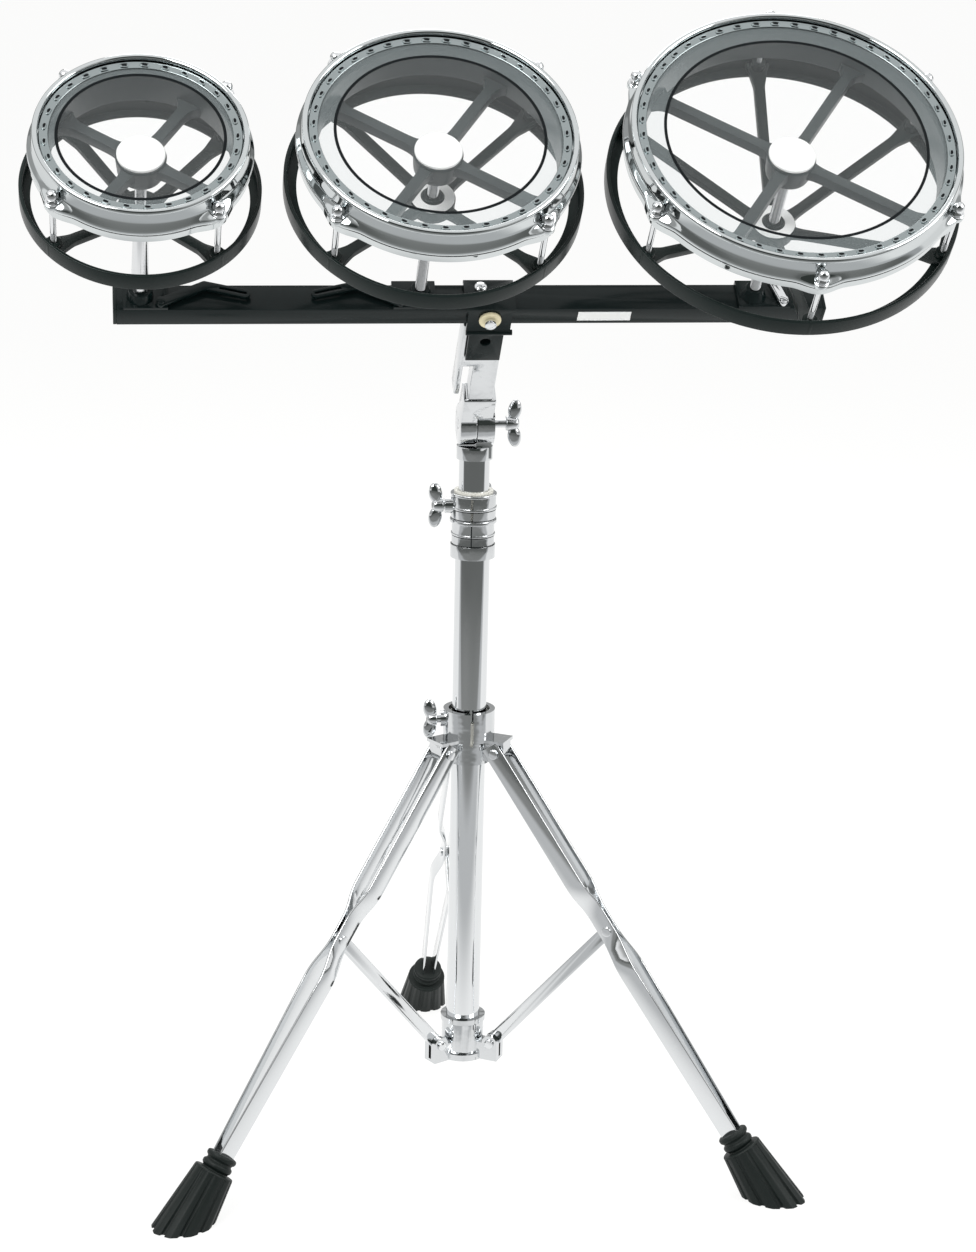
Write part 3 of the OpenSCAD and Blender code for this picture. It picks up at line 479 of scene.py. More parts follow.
def finished(piece, place, body, slot, material, *nodes, angle=35):
    """Places a piece, smooths it, and gives it its finish and its body."""
    if place is not None:
        moved(piece, place)
    pick(piece)
    bpy.ops.object.shade_smooth_by_angle(angle=math.radians(angle))
    piece.data.materials.clear()
    piece.data.materials.append(material)
    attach(piece, body)
    if nodes:
        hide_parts(*nodes)
    return piece


# Drums

def counterhoop(drum):
    """Rolled edge, wall, flare, bead and skirt, with the bead drawn out to an ear at each rod."""
    size = DRUMS[drum]
    r, rods, first = size["r"], size["rods"], size["rod"]
    angles = [math.radians(-60 + 20 * k) for k in range(14)]
    roll = [(r + 6 + 2.5 * math.cos(a), 3.5 + 2.5 * math.sin(a)) for a in angles]
    inside = [(r + 5.6, 0.9), (r + 6.9, 0.4), (r + 6.9, -6.6), (r + 1.4, -6.9), (r + 1.4, -8.4),
              (r + 8.2, -8.4), (r + 10.2, -12.4), (r + 10.4, -14.2), (r + 9.9, -16.4), (r + 9.8, -23.8)]
    outside = [(r + 11.3, -24.0), (r + 11.4, -17.6), (r + 12.3, -16.0), (r + 12.7, -14.3),
               (r + 12.3, -12.6), (r + 11.2, -10.9), (r + 9.1, -7.6), (r + 8.4, -5.4)]
    profile = roll + rounded(inside, 0.7, closed=False) + rounded(outside, 0.9, closed=False)
    piece = lathe(f"{drum}_hoop", profile, 36 * rods if rods == 6 else 48 * rods, closed=True)
    ear = r + ROD_OUT
    for vertex in piece.data.vertices:
        x, y, z = vertex.co / MM
        radius = math.hypot(x, y)
        if z > HOOP_BEAD_TOP or radius < r + 8.6:
            continue
        azimuth = math.degrees(math.atan2(y, x))
        near = min(abs((azimuth - first - k * 360 / rods + 180) % 360 - 180) for k in range(rods))
        share = 0.5 + 0.5 * math.cos(math.pi * min(1.0, math.radians(near) * ear / EAR_SPREAD))
        share *= min(1.0, (HOOP_BEAD_TOP - z) / 3.5)
        scale = (radius + share * EAR_PUSH) / radius
        vertex.co = Vector((x * scale, y * scale, z - share * EAR_DROP)) * MM

    def ear_block():
        outline = rounded([(r + 9.4, -8.0), (ear + 2.6, -6.0), (ear + 6.4, -2.6), (ear + 6.4, 2.6),
                           (ear + 2.6, 6.0), (r + 9.4, 8.0)], 2.4, closed=True, bits=5)
        return slab("ear", outline, 5.2, -16.8, 1.2, 4)

    ears = ring_of(f"{drum}_ears", ear_block, rods, first)
    piece = joined(f"{drum}_hoop", [piece, ears])
    finished(piece, at_head(drum), f"{drum}_drum", "hoop_chrome", HOOP_CHROME, f"{drum}_counterhoop")


def crimp_ring(drum):
    """The head's aluminium channel as it shows round the film, with its tabs and a painted shadow, a thin
    black slab, on each tab.
    """
    r = DRUMS[drum]["r"]
    profile = [(r - 4.4, 0.9), (r - 4.0, 1.5), (r - 3.2, 1.5), (r + 1.4, 1.5), (r + 2.2, 1.9),
               (r + 3.0, 1.6), (r + 3.0, 0.7), (r - 3.8, 0.7)]
    crimps = round(TURN * r / CRIMP_STEP)
    line = rounded(profile, 0.3, closed=True, bits=2)
    piece = lathe(f"{drum}_crimp_ring", line, crimps * 10, closed=True)

    def tab():
        outline = [(r - 3.2, -3.6), (r - 1.0, -4.6), (r + 0.9, -3.2), (r + 1.2, 1.4), (r - 0.4, 3.8),
                   (r - 2.6, 2.6)]
        return slab("tab", rounded(outline, 1.2, closed=True, bits=3), 0.9, 1.45, 0.35, 2)

    tabs = ring_of(f"{drum}_tabs", tab, crimps)

    # A thin black slab laid on each tab: a painted shadow between the crimps, not a real slot.
    def slot():
        outline = [(r - 2.4, -2.6), (r - 0.8, -3.2), (r + 0.2, -1.2), (r - 0.2, 1.6), (r - 1.8, 1.2)]
        return slab("slot", rounded(outline, 0.7, closed=True, bits=3), 0.3, 2.2, 0)

    # The painted shadows of the crimps, finished in plain black.
    painted_tab_shadows = ring_of(f"{drum}_crimp_shadows", slot, crimps)
    piece = joined(f"{drum}_crimp_ring", [piece, tabs])
    finished(piece, at_head(drum), f"{drum}_drum", "hoop_aluminium", CRIMPED_RIM)
    finished(painted_tab_shadows, at_head(drum), f"{drum}_drum", "hoop_aluminium", BLACK_LINE)


def flesh_hoop(drum):
    """The lower channel of the head, pressed in between its crimps."""
    r = DRUMS[drum]["r"] + 0.3
    profile = [(r, -15), (r + 4.2, -15), (r + 4.2, -8.2), (r + 3.4, -7.9), (r + 2.6, -8.2),
               (r + 2.6, -11), (r + 1.6, -11), (r + 1.6, -8.2), (r + 0.8, -7.9), (r, -8.2)]
    crimps = 12 * round(TURN * r / CRIMP_STEP / 12)
    line = rounded(profile, 0.5, closed=True, bits=2)
    piece = lathe(f"{drum}_head_hoop", line, crimps * 6, closed=True)
    for vertex in piece.data.vertices:
        x, y, z = vertex.co / MM
        radius = math.hypot(x, y)
        if radius > r + 1.7 or z > -8.6 or z < -14.5:
            continue
        phase = (math.atan2(y, x) / TURN * crimps) % 1.0
        press = max(0.0, math.cos((phase - 0.5) * TURN)) * CRIMP_PRESS
        scale = (radius + press) / radius
        vertex.co = Vector((x * scale, y * scale, z)) * MM
    node = f"{drum}_flesh_hoop"
    finished(piece, at_head(drum), f"{drum}_drum", "hoop_aluminium", PLAIN_ALUMINIUM, node)


def drumhead(drum):
    """Clear film, the hazy collar outside it, and the dark line between the two."""
    r, line = DRUMS[drum]["r"], DRUMS[drum]["line"]
    place, body = at_head(drum), f"{drum}_drum"
    film = lathe(f"{drum}_film", [(0, 0.04), (line, 0.04), (line, 0.34), (0, 0.34)], 144)
    finished(film, place, body, "clear_film", CLEAR_FILM, f"{drum}_drumhead")
    collar = [(line, 0.04), (r - 2.2, 0.04), (r - 0.9, -1.2), (r - 0.65, -3.0), (r - 0.65, -12.8),
              (r - 0.3, -12.8), (r - 0.3, -2.8), (r - 0.7, -0.6), (r - 2.0, 0.36), (line, 0.36)]
    edge = lathe(f"{drum}_film_collar", rounded(collar, 0.4, closed=True, bits=2), 192, closed=True)
    finished(edge, place, body, "clear_film", HAZY_FILM)
    band = [(line - 1.3, 0.0), (line + 1.1, 0.0), (line + 1.1, 0.5), (line - 1.3, 0.5)]
    mark = lathe(f"{drum}_film_line", band, 144, closed=True)
    finished(mark, place, body, "clear_film", BLACK_LINE)


def upper_frame(drum):
    """Rim that the head bears on, hub and four spokes, of grey casting."""
    r = DRUMS[drum]["r"] - 1.0
    rim = [(r - 4, -RIM_H), (r - 1, -RIM_H), (r - 1, -6), (r, -4), (r - 0.8, -0.3), (r - 3, -2.3),
           (r - 4, -6)]
    hub_top = -HUB_DROP
    parts = [lathe("rim", rounded(rim, 0.9, closed=True), 192, closed=True)]
    hub = [(4.9, hub_top - HUB_H), (17.5, hub_top - HUB_H), (18.6, hub_top - HUB_H + 3),
           (20.4, hub_top - 1.6), (19.6, hub_top - 0.02), (4.9, hub_top - 0.02)]
    parts.append(lathe("hub", rounded(hub, 1.0, closed=True), 96, closed=True))
    inner, outer = 16.0, r - 3.6

    def spoke():
        half = 4.5
        outline = [(inner, -half - 3), (inner + 6, -half - 0.6), (inner + 12, -half), (outer - 12, -half),
                   (outer - 5, -half - 2.5), (outer, -half - 8)]
        outline += [(x, -y) for x, y in reversed(outline)]
        return slab("spoke", rounded(outline, 3.0, closed=True), 9.5, hub_top - 11.5, 0.9, 3)

    parts.append(ring_of("spokes", spoke, 4, UPPER_SPOKE))
    piece = joined(f"{drum}_bearing_frame", parts)
    node = f"{drum}_upper_frame"
    finished(piece, at_head(drum), f"{drum}_drum", "grey_casting", GREY_CASTING, node)


def hub_cap(drum):
    """White cap on the upper frame's hub, seen through the film."""
    profile = [(0, 0), (19.4, 0), (19.4, 2.2), (18.2, 3.0), (0, 3.0)]
    cap = lathe(f"{drum}_cap", rounded(profile, 0.8), 96)
    place = at_head(drum, HUB_DROP)
    finished(cap, place, f"{drum}_drum", "white_cap", WHITE_CAP, f"{drum}_hub_cap")


def lower_frame(drum):
    """Ring with an inside flange, hub, and a sloping spoke with a boss to each rod."""
    size = DRUMS[drum]
    r, rods, first = size["r"], size["rods"], size["rod"]
    top = size["head"] - RING_DROP
    low = top - RING_H
    outer = r + RING_OUT
    flange = outer - (11.0 if drum != "small" else 9.0)
    ring = [(outer, low), (outer, top), (outer - 3, top), (outer - 3, low + 3), (flange, low + 3),
            (flange, low)]
    parts = [lathe("ring", rounded(ring, 0.8, closed=True), 240, closed=True)]
    hub_top = size["hub"]
    hub = [(4.9, hub_top - 14), (17.0, hub_top - 14), (19.0, hub_top - 11), (19.0, hub_top - 1),
           (18, hub_top), (9.5, hub_top), (8.5, hub_top + 2.5), (4.9, hub_top + 2.5)]
    parts.append(lathe("hub", rounded(hub, 1.0, closed=True), 96, closed=True))
    start, end = 15.0, outer - 2.6
    low_mid, high_mid = hub_top - 5.0, low + RING_H * 0.48
    climb = math.atan2(high_mid - low_mid, end - start)
    length = math.hypot(end - start, high_mid - low_mid)

    def spoke():
        outline = [(0, -6.5), (7, -4.6), (14, -4.2), (length - 22, -4.6), (length - 8, -8.0),
                   (length, -11.0)]
        outline += [(x, -y) for x, y in reversed(outline)]
        bar = slab("bar", rounded(outline, 3.0, closed=True), 6.0, -3.0, 0.8, 3)
        turned(bar, -math.degrees(climb), "Y")
        shifted(bar, start, 0, low_mid)
        boss = rod("boss", 6.2, low + 1.0, top - 1.6, 32, 0.8)
        shifted(boss, r + ROD_OUT, 0, 0)
        return joined("spoke", [bar, boss])

    parts.append(ring_of("spokes", spoke, rods, first))
    piece = joined(f"{drum}_tuning_frame", parts)
    node = f"{drum}_lower_frame"
    finished(piece, at_drum(drum), f"{drum}_drum", "black_casting", BLACK_CASTING, node)
    if drum != "small":
        back, face = hub_top + 0.05, hub_top + 0.25
        outline = [(9.8, back), (18.2, back), (18.2, face), (9.8, face)]
        label = lathe(f"{drum}_hub_label", outline, 72, closed=True)
        finished(label, at_drum(drum), f"{drum}_drum", "white_cap", WHITE_CAP)


def screw_thread(radius, depth, pitch, start, end):
    """The outline of a threaded shaft."""
    points = []
    z = start
    while z < end:
        points += [(radius - depth, z), (radius, z + pitch * 0.45), (radius, z + pitch * 0.55)]
        z += pitch
    return points + [(radius - depth, end)]


def spindle(drum):
    """The threaded shaft from the bracket's boss to the hub, and the small drum's sleeve."""
    size = DRUMS[drum]
    base = RAIL_H / 2 + 0.05 + 2.5
    top = size["head"] - HUB_DROP - 1
    boss_top = base + 10.2
    hub_bottom = size["head"] - HUB_DROP - HUB_H
    profile = [(0, base + 0.2), (4.7, base + 0.2)]
    profile += screw_thread(4.75, 0.45, TUNING_PITCH, boss_top, hub_bottom - 3)
    profile += [(8.2, hub_bottom - 2.3), (8.2, hub_bottom - 0.3), (4.7, hub_bottom - 0.25), (4.7, top),
                (0, top)]
    piece = lathe(f"{drum}_screw", profile, 40)
    parts = [piece]
    if drum == "small":
        sleeve = [(4.9, boss_top), (7.5, boss_top), (6.1, size["hub"] - 20), (4.9, size["hub"] - 20)]
        parts.append(lathe("sleeve", rounded(sleeve, 0.4, closed=True), 48, closed=True))
    piece = joined(f"{drum}_screw", parts)
    node = f"{drum}_spindle"
    finished(piece, at_drum(drum), f"{drum}_clamp", "spindle_steel", THREAD_STEEL, node)


def tension_rods(drum):
    """Rods with a thread at the foot, and a washer and a round head on the hoop's ears."""
    size = DRUMS[drum]
    bottom = size["head"] - RING_DROP - RING_H + 2
    seat = size["head"] - 11.5

    def one():
        thread = screw_thread(2.5, 0.25, ROD_PITCH, bottom, bottom + 22)
        plain = [(2.5, bottom + 23), (2.5, seat + 1), (0, seat + 1)]
        shaft = lathe("shaft", [(0, bottom)] + thread + plain, 20)
        disc = [(2.4, seat), (5.8, seat), (5.8, seat + 1.6), (2.4, seat + 1.6)]
        washer = lathe("washer", rounded(disc, 0.5, closed=True), 32, closed=True)
        neck = [(0, seat + 1.2), (4.4, seat + 1.6), (3.6, seat + 2.8)]
        angles = [math.radians(-50 + 14 * k) for k in range(10)]
        ball = [(5.0 * math.cos(a), seat + 7.0 + 5.0 * math.sin(a)) for a in angles]
        head = lathe("head", neck + ball + [(0, seat + 12)], 32)
        piece = joined("rod", [shaft, washer, head])
        return shifted(piece, size["r"] + ROD_OUT, 0, 0)

    piece = ring_of(f"{drum}_rods", one, size["rods"], size["rod"])
    node = f"{drum}_tension_rods"
    finished(piece, at_drum(drum), f"{drum}_drum", "chrome_steel", PRESSED_CHROME, node)


def bracket(drum):
    """Rail bracket and its lever, whose visible end is bright only on the large drum."""
    piece = refined(f"{drum}_bracket", f"{drum}_rail_bracket", 0.5)
    finished(piece, None, f"{drum}_clamp", "black_paint", BLACK_PAINT, f"{drum}_bracket")
    lever = refined(f"{drum}_lever", f"{drum}_clamp_strap", 0.5)
    bright = drum == "large"
    slot = "chrome_steel" if bright else "black_paint"
    material = PRESSED_CHROME if bright else BLACK_PAINT
    finished(lever, None, f"{drum}_clamp_lever", slot, material, f"{drum}_lever")


# Stand

def tube(name, inner, outer, bottom, top, body, node):
    outline = [(inner, bottom), (outer, bottom), (outer, top), (inner, top)]
    piece = lathe(name, rounded(outline, 0.4, closed=True), 96, closed=True)
    finished(piece, at_column(), body, "chrome_tube", CHROME, node)


def tubes():
    size = LOWER_TUBE
    tube("lower_tube", size["inner"], size["outer"], size["bottom"], size["top"], "stand", "base_tube")
    size = INNER_TUBE
    bottom = size["top"] - size["length"]
    tube("inner_tube", size["inner"], size["outer"], bottom, size["top"], "mast", "upper_tube")


def wing_screw(name, shaft, hub, body, place, span, node):
    """A screw along X whose two lobes are spheres, flattened and with a waist."""
    parts = [turned(rod("shaft", 4.0, 0, shaft + hub, 32, 0.6), 90, "Y")]
    end = shaft + hub
    profile = [(0, shaft), (7, shaft), (5.6, end - 2), (4, end), (0, end)]
    parts.append(turned(lathe("hub", rounded(profile, 1.5), 48), 90, "Y"))
    lobe = span / 2 - 7.5
    for side in (1, -1):
        deselect()
        bpy.ops.mesh.primitive_uv_sphere_add(segments=32, ring_count=16, radius=1.0)
        wing = new_piece("wing")
        for vertex in wing.data.vertices:
            x, y, z = vertex.co
            waist = 1.0 - 0.35 * max(0.0, -z) ** 1.5
            vertex.co = Vector((x * 6.2 * waist, y * 3.4, z * 10.5)) * MM
        shifted(wing, 0, 0, lobe)
        turned(wing, 8, "Y")
        if side < 0:
            turned(wing, 180, "X")
        shifted(wing, shaft + hub / 2 + 0.5, 0, 0)
        parts.append(wing)
    finished(joined(name, parts), place, body, "chrome_steel", CAST_CHROME, node, angle=50)


def wing_screws():
    """Name, shaft and hub, body, side and height, distance of the tip, span, node."""
    rows = [
        ("left_clamp_wing", 12, 10, "clamp_screw", 180, CLAMP_TOP - 12, 15.93, 36, "clamp_wing_screw"),
        ("rear_clamp_wing", 12, 10, "rear_screw", 60, CLAMP_TOP - 20, 15.93, 36, "rear_wing_screw"),
        ("collar_wing", 11, 9, "collar_screw", 180, COLLAR_PIVOT[1] + 28, 19.48, 32, "collar_wing_screw"),
        ("tilter_wing", 43.3, 12, "tilter_bolt", 0, TILTER_Z, -15.65, 38, "tilter_wing_bolt"),
    ]
    for name, shaft, hub, body, azimuth, z, tip, span, node in rows:
        place = at_column() @ Matrix.Translation((0, 0, z * MM))
        place = place @ Matrix.Rotation(math.radians(azimuth), 4, "Z")
        place = place @ Matrix.Translation((tip * MM, 0, 0))
        wing_screw(name, shaft, hub, body, place, span, node)


def leg(name, azimuth):
    """Two bent strips, riveted together round the brace."""
    bend = [(STRIP_W * -0.5, STRIP_SPREAD), (LEG_UPPER - 46, STRIP_SPREAD), (LEG_UPPER - 26, PINCH),
            (LEG_UPPER + 9, PINCH), (LEG_UPPER + 36, STRIP_SPREAD), (STRIP_END, FOOT_SPREAD)]
    line = rounded(bend, 9, bits=4)
    parts = []
    for side in (1, -1):
        strip = wire("strip", [(-STRIP_W / 2, side * y, -u) for u, y in line], closed=False)
        edit(strip)
        bpy.ops.mesh.extrude_region_move(TRANSFORM_OT_translate={"value": (STRIP_W * MM, 0, 0)})
        leave()
        pick(strip)
        wall = strip.modifiers.new("wall", "SOLIDIFY")
        wall.thickness = STRIP_T * MM
        wall.offset = 0
        bpy.ops.object.modifier_apply(modifier=wall.name)
        edit(strip)
        bpy.ops.mesh.normals_make_consistent(inside=False)
        leave()
        parts.append(bevelled(strip, 0.7, 3, 40))
    reach = PINCH + STRIP_T / 2
    for side in (1, -1):
        rivet = rod("rivet", RIVET_R, reach, reach + RIVET_HIGH, 32, 0.8)
        turned(rivet, -90 * side, "X")
        parts.append(shifted(rivet, 0, 0, -LEG_UPPER))
    core = rod("core", RIVET_CORE_R, -reach, reach, 24, 0.1)
    turned(core, 90, "X")
    parts.append(shifted(core, 0, 0, -LEG_UPPER))
    piece = joined(f"{name}_leg_strips", parts)
    finished(piece, along_leg(azimuth), f"{name}_leg", "chrome_steel", PRESSED_CHROME, f"leg_{name}")


def foot(name, azimuth):
    """Rubber foot with two beads and a grooved flare, cut flat at the floor."""
    bead = [(12, 0), (14.5, 1.2), (14.5, 4.6), (12.2, 6.6), (12.2, 8.2), (14.5, 9.8), (14.5, 13.2),
            (12.4, 15.2)]
    flare = [(12.6, 16.4), (18.4, 16.6), (19.2, 18.0), (25.0, 69.0), (28.5, 100.0)]
    profile = [(0, 0)] + bead + flare + [(0, 100.0)]
    piece = lathe(f"{name}_rubber_foot", [(r, -z) for r, z in rounded(profile, 1.3)], 200)
    for vertex in piece.data.vertices:
        x, y, z = vertex.co / MM
        radius = math.hypot(x, y)
        if z > -FOOT_FLARE or radius < 10:
            continue
        phase = (math.atan2(y, x) / TURN * FOOT_GROOVES) % 1.0
        depth = FOOT_GROOVE_DEPTH * min(1.0, (-z - FOOT_FLARE) / 3.0)
        cut = min(1.0, max(0.0, 1 - abs(phase - 0.5) / 0.15) * 2.4) * depth
        flat = 1.0 - 0.035 * abs(math.cos((phase - 0.5) * TURN / 2))
        scale = (radius * flat - cut) / radius
        vertex.co = Vector((x * scale, y * scale, z)) * MM
    shifted(piece, 0, 0, -FOOT_TOP)
    moved(piece, along_leg(azimuth))
    edit(piece)
    bpy.ops.mesh.bisect(plane_co=(0, 0, 0.0001), plane_no=(0, 0, 1), use_fill=True, clear_inner=True)
    leave()
    finished(piece, None, f"{name}_leg", "rubber", RUBBER, f"foot_{name}", angle=45)


def clamp_bands():
    """Raised bands round the clamp, and the dark joints between its halves."""
    bands = []
    rows = [(612.6, 615.8, 21.4), (625.4, 628.0, 21.3), (637.6, 640.0, 21.2), (601.0, 603.0, 20.3)]
    for low, high, reach in rows:
        outline = [(19.0, low), (reach, low), (reach, high), (19.0, high)]
        bands.append(lathe("band", rounded(outline, 0.7, closed=True), 96, closed=True))
    piece = joined("clamp_bands", bands)
    finished(piece, at_column(), "stand", "chrome_casting", CAST_CHROME)
    joints = []
    for low, reach in ((616.4, 20.62), (624.6, 20.62), (600.2, 19.62), (592.3, 19.7)):
        outline = [(reach - 0.5, low), (reach, low), (reach, low + 0.7), (reach - 0.5, low + 0.7)]
        joints.append(lathe("joint", outline, 96, closed=True))
    joints.append(block("split", (-4.5, -20.1, 592.6), (-3.7, -18.6, 614.0), 0.1, 1))
    piece = joined("clamp_joints", joints)
    finished(piece, at_column(), "stand", "chrome_casting", BLACK_LINE)


def castings():
    """The plain solids that keep their shape: node, name, body, slot, finish, edge."""
    rows = [
        ("bottom_casting", "brace_casting", "stand", "chrome_casting", CAST_CHROME, 0.9),
        ("height_clamp", "tube_clamp", "stand", "chrome_casting", CAST_CHROME, 0.9),
        ("clamp_bush", "clamp_sleeve", "stand", "nylon", NYLON, 0.4),
        ("casting_pins", "lower_rivets", "stand", "chrome_steel", PRESSED_CHROME, 0.7),
        ("leg_collar", "sliding_collar", "collar", "chrome_casting", CAST_CHROME, 0.9),
        ("collar_bush", "collar_sleeve", "collar", "nylon", NYLON, 0.4),
        ("collar_pins", "upper_rivets", "collar", "chrome_steel", PRESSED_CHROME, 0.7),
        ("tilter_base", "tilter_right_half", "mast", "chrome_casting", CAST_CHROME, 1.0),
        ("tilter_head", "tilter_arm", "head", "chrome_casting", CAST_CHROME, 1.2),
        ("rail_receiver", "arm_socket", "head", "black_paint", BLACK_PAINT, 0.6),
        ("rail_saddle", "rail_plate", "head", "black_paint", BLACK_PAINT, 0.6),
        ("saddle_bolts", "plate_bolts", "head", "chrome_steel", PRESSED_CHROME, 0.5),
        ("saddle_washer", "front_washer", "head", "washer", WASHER, 0.5),
        ("rail", "drum_rail", "head", "black_paint", BLACK_PAINT, 0.7),
        ("rail_end_caps", "rail_plugs", "head", "black_plastic", BLACK_CASTING, 0.6),
    ]
    for node, name, body, slot, material, edge in rows:
        finished(refined(node, name, edge, 3), None, body, slot, material, node)
    for name in LEGS:
        piece = refined(f"brace_{name}", f"{name}_flat_brace", 0.6, 3)
        finished(piece, None, f"{name}_brace", "chrome_steel", PRESSED_CHROME, f"brace_{name}")


def rail_label():
    """The blank plate on the rail's front."""
    front = -RAIL_W / 2
    plate = block("rail_plate_label", (70, front - 0.35, -5.6), (116, front - 0.05, 5.6), 0.1, 1)
    finished(plate, at_rail(), "head", "white_cap", WHITE_CAP)


# Studio

def smooth_step(nodes, link, value, start, end, operation=None, other=None):
    """Maps a value from 0 at start to 1 at end, and joins it to another one."""
    step = nodes.new("ShaderNodeMapRange")
    step.interpolation_type = "SMOOTHSTEP"
    step.inputs["From Min"].default_value = start
    step.inputs["From Max"].default_value = end
    link(value, step.inputs["Value"])
    if operation is None:
        return step.outputs["Result"]
    return worked(nodes, link, operation, step.outputs["Result"], other)


def worked(nodes, link, operation, first, second):
    """A Math node whose two values are sockets or numbers."""
    node = nodes.new("ShaderNodeMath")
    node.operation = operation
    for socket, value in zip(node.inputs, (first, second)):
        if isinstance(value, (int, float)):
            socket.default_value = value
        else:
            link(value, socket)
    return node.outputs[0]


def towards(nodes, link, vector):
    """How far a vector points to the side that the camera is on."""
    dot = nodes.new("ShaderNodeVectorMath")
    dot.operation = "DOT_PRODUCT"
    dot.inputs[1].default_value = (-math.sin(VIEW_TURN), -math.cos(VIEW_TURN), 0)
    link(vector, dot.inputs[0])
    return dot.outputs["Value"]


def two_tones(nodes, link, share, light, dark):
    """A colour between a light one, which may come from a socket, and a dark one."""
    tone = nodes.new("ShaderNodeMix")
    tone.data_type = "RGBA"
    if isinstance(light, tuple):
        tone.inputs["A"].default_value = (*light, 1)
    else:
        link(light, tone.inputs["A"])
    tone.inputs["B"].default_value = (*dark, 1)
    link(share, tone.inputs["Factor"])
    return tone.outputs["Result"]


def seen_rays(nodes, link):
    """1 for camera, glossy and transmitted rays, and 1 for the glossy ones alone."""
    path = nodes.new("ShaderNodeLightPath")
    glossy = path.outputs["Is Glossy Ray"]
    direct = worked(nodes, link, "MAXIMUM", path.outputs["Is Camera Ray"], glossy)
    return worked(nodes, link, "MAXIMUM", direct, path.outputs["Is Transmission Ray"]), glossy


def studio_floor():
    """White paper, which glossy surfaces see darken towards the camera's side."""
    deselect()
    bpy.ops.mesh.primitive_plane_add(size=60, location=(0, 0, 0))
    floor = new_piece("studio_floor")
    material = bpy.data.materials.new("studio_paper")
    material.use_nodes = True
    nodes, link = material.node_tree.nodes, material.node_tree.links.new
    nodes.clear()
    out = nodes.new("ShaderNodeOutputMaterial")
    paper = nodes.new("ShaderNodeBsdfDiffuse")
    paper.inputs["Color"].default_value = (*PAPER, 1)
    glow = nodes.new("ShaderNodeEmission")
    where = nodes.new("ShaderNodeTexCoord")
    seen, glossy = seen_rays(nodes, link)
    glow.inputs["Strength"].default_value = PAPER_WHITE
    front = towards(nodes, link, where.outputs["Object"])
    near = smooth_step(nodes, link, front, 0.12, 0.5, "MULTIPLY", glossy)
    dark = smooth_step(nodes, link, front, 0.75, 1.15, "MULTIPLY", glossy)
    shaded = two_tones(nodes, link, near, (1.0, 1.0, 0.995), FLOOR_SHADE)
    link(two_tones(nodes, link, dark, shaded, ROOM), glow.inputs["Color"])
    mix = nodes.new("ShaderNodeMixShader")
    link(worked(nodes, link, "MULTIPLY", seen, PAPER_GLOW), mix.inputs[0])
    link(paper.outputs[0], mix.inputs[1])
    link(glow.outputs[0], mix.inputs[2])
    link(mix.outputs[0], out.inputs[0])
    floor.data.materials.append(material)


def studio_sky():
    """White all round. Glossy surfaces also see a dark room, a dark edge and a dark band."""
    world = bpy.data.worlds.new("studio")
    SCENE.world = world
    world.use_nodes = True
    nodes, link = world.node_tree.nodes, world.node_tree.links.new
    nodes.clear()
    out = nodes.new("ShaderNodeOutputWorld")
    soft = nodes.new("ShaderNodeBackground")
    soft.inputs["Strength"].default_value = SKY_LIGHT
    bright = nodes.new("ShaderNodeBackground")
    where = nodes.new("ShaderNodeTexCoord")
    front = towards(nodes, link, where.outputs["Generated"])
    room = smooth_step(nodes, link, front, 0.66, 0.86)
    edge = smooth_step(nodes, link, front, -0.96, -0.88)
    edge = smooth_step(nodes, link, front, -0.66, -0.76, "MULTIPLY", edge)
    edge = worked(nodes, link, "MULTIPLY", edge, 0.8)
    height = nodes.new("ShaderNodeSeparateXYZ")
    link(where.outputs["Generated"], height.inputs["Vector"])
    band = smooth_step(nodes, link, height.outputs["Z"], 0.02, 0.14)
    band = smooth_step(nodes, link, height.outputs["Z"], 0.46, 0.34, "MULTIPLY", band)
    band = worked(nodes, link, "MULTIPLY", band, 0.6)
    seen, glossy = seen_rays(nodes, link)
    dark = worked(nodes, link, "MAXIMUM", worked(nodes, link, "MAXIMUM", room, edge), band)
    dark = worked(nodes, link, "MULTIPLY", dark, glossy)
    link(two_tones(nodes, link, dark, (1.0, 1.0, 1.0), ROOM), bright.inputs["Color"])
    mix = nodes.new("ShaderNodeMixShader")
    link(seen, mix.inputs[0])
    link(soft.outputs[0], mix.inputs[1])
    link(bright.outputs[0], mix.inputs[2])
    link(mix.outputs[0], out.inputs[0])


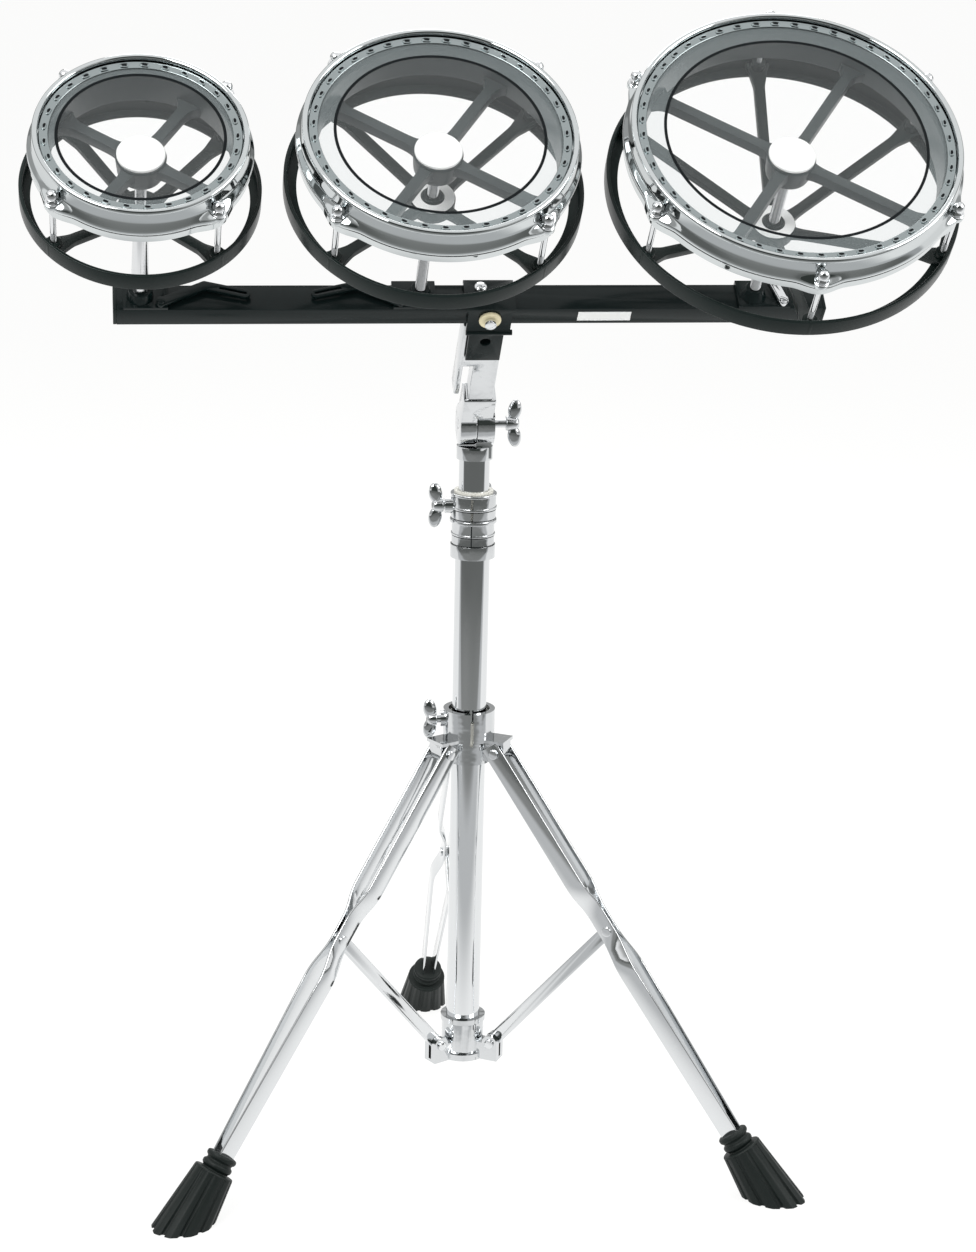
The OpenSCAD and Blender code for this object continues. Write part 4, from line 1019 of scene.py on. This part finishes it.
def studio_lights():
    for name, place, size, power in (
        ("key_light", (-1.6, -1.8, 2.6), 1.6, 60.0),
        ("fill_light", (2.2, -1.2, 2.0), 1.4, 32.0),
        ("back_light", (0.3, 2.0, 2.4), 1.6, 24.0),
    ):
        lamp = bpy.data.lights.new(name, "AREA")
        lamp.energy = power
        lamp.size = size
        light = bpy.data.objects.new(name, lamp)
        SCENE.collection.objects.link(light)
        light.location = place
        aim = Vector((0, -0.1, 0.6)) - Vector(place)
        light.rotation_euler = aim.to_track_quat("-Z", "Y").to_euler()


def camera():
    """The photograph's viewpoint."""
    turn, pitch, roll = VIEW_TURN, VIEW_PITCH, VIEW_ROLL
    right = Vector((math.cos(turn), -math.sin(turn), 0))
    level = math.cos(pitch)
    forward = Vector((math.sin(turn) * level, math.cos(turn) * level, -math.sin(pitch)))
    up = right.cross(forward)
    view_right = right * math.cos(roll) + up * math.sin(roll)
    view_up = up * math.cos(roll) - right * math.sin(roll)
    lens = bpy.data.cameras.new("photo_view")
    lens.sensor_width = SENSOR
    lens.lens = VIEW_FOCUS / VIEW_HEIGHT * SENSOR
    lens.clip_start, lens.clip_end = 0.1, 100.0
    eye = bpy.data.objects.new("photo_view", lens)
    SCENE.collection.objects.link(eye)
    axes = Matrix((view_right, view_up, -forward)).transposed().to_4x4()
    x, y, z = VIEW_PLACE
    place = Vector((x + COLUMN[0], y + COLUMN[1], z)) * MM
    eye.matrix_world = Matrix.Translation(place) @ axes
    SCENE.camera = eye


camera()
studio_floor()
studio_sky()
studio_lights()
SCENE.view_settings.view_transform = "Standard"

tubes()
castings()
clamp_bands()
wing_screws()
for leg_name, leg_azimuth in LEGS.items():
    leg(leg_name, leg_azimuth)
    foot(leg_name, leg_azimuth)
rail_label()
for drum_name in DRUMS:
    bracket(drum_name)
    spindle(drum_name)
    lower_frame(drum_name)
    upper_frame(drum_name)
    hub_cap(drum_name)
    tension_rods(drum_name)
    flesh_hoop(drum_name)
    counterhoop(drum_name)
    crimp_ring(drum_name)
    drumhead(drum_name)
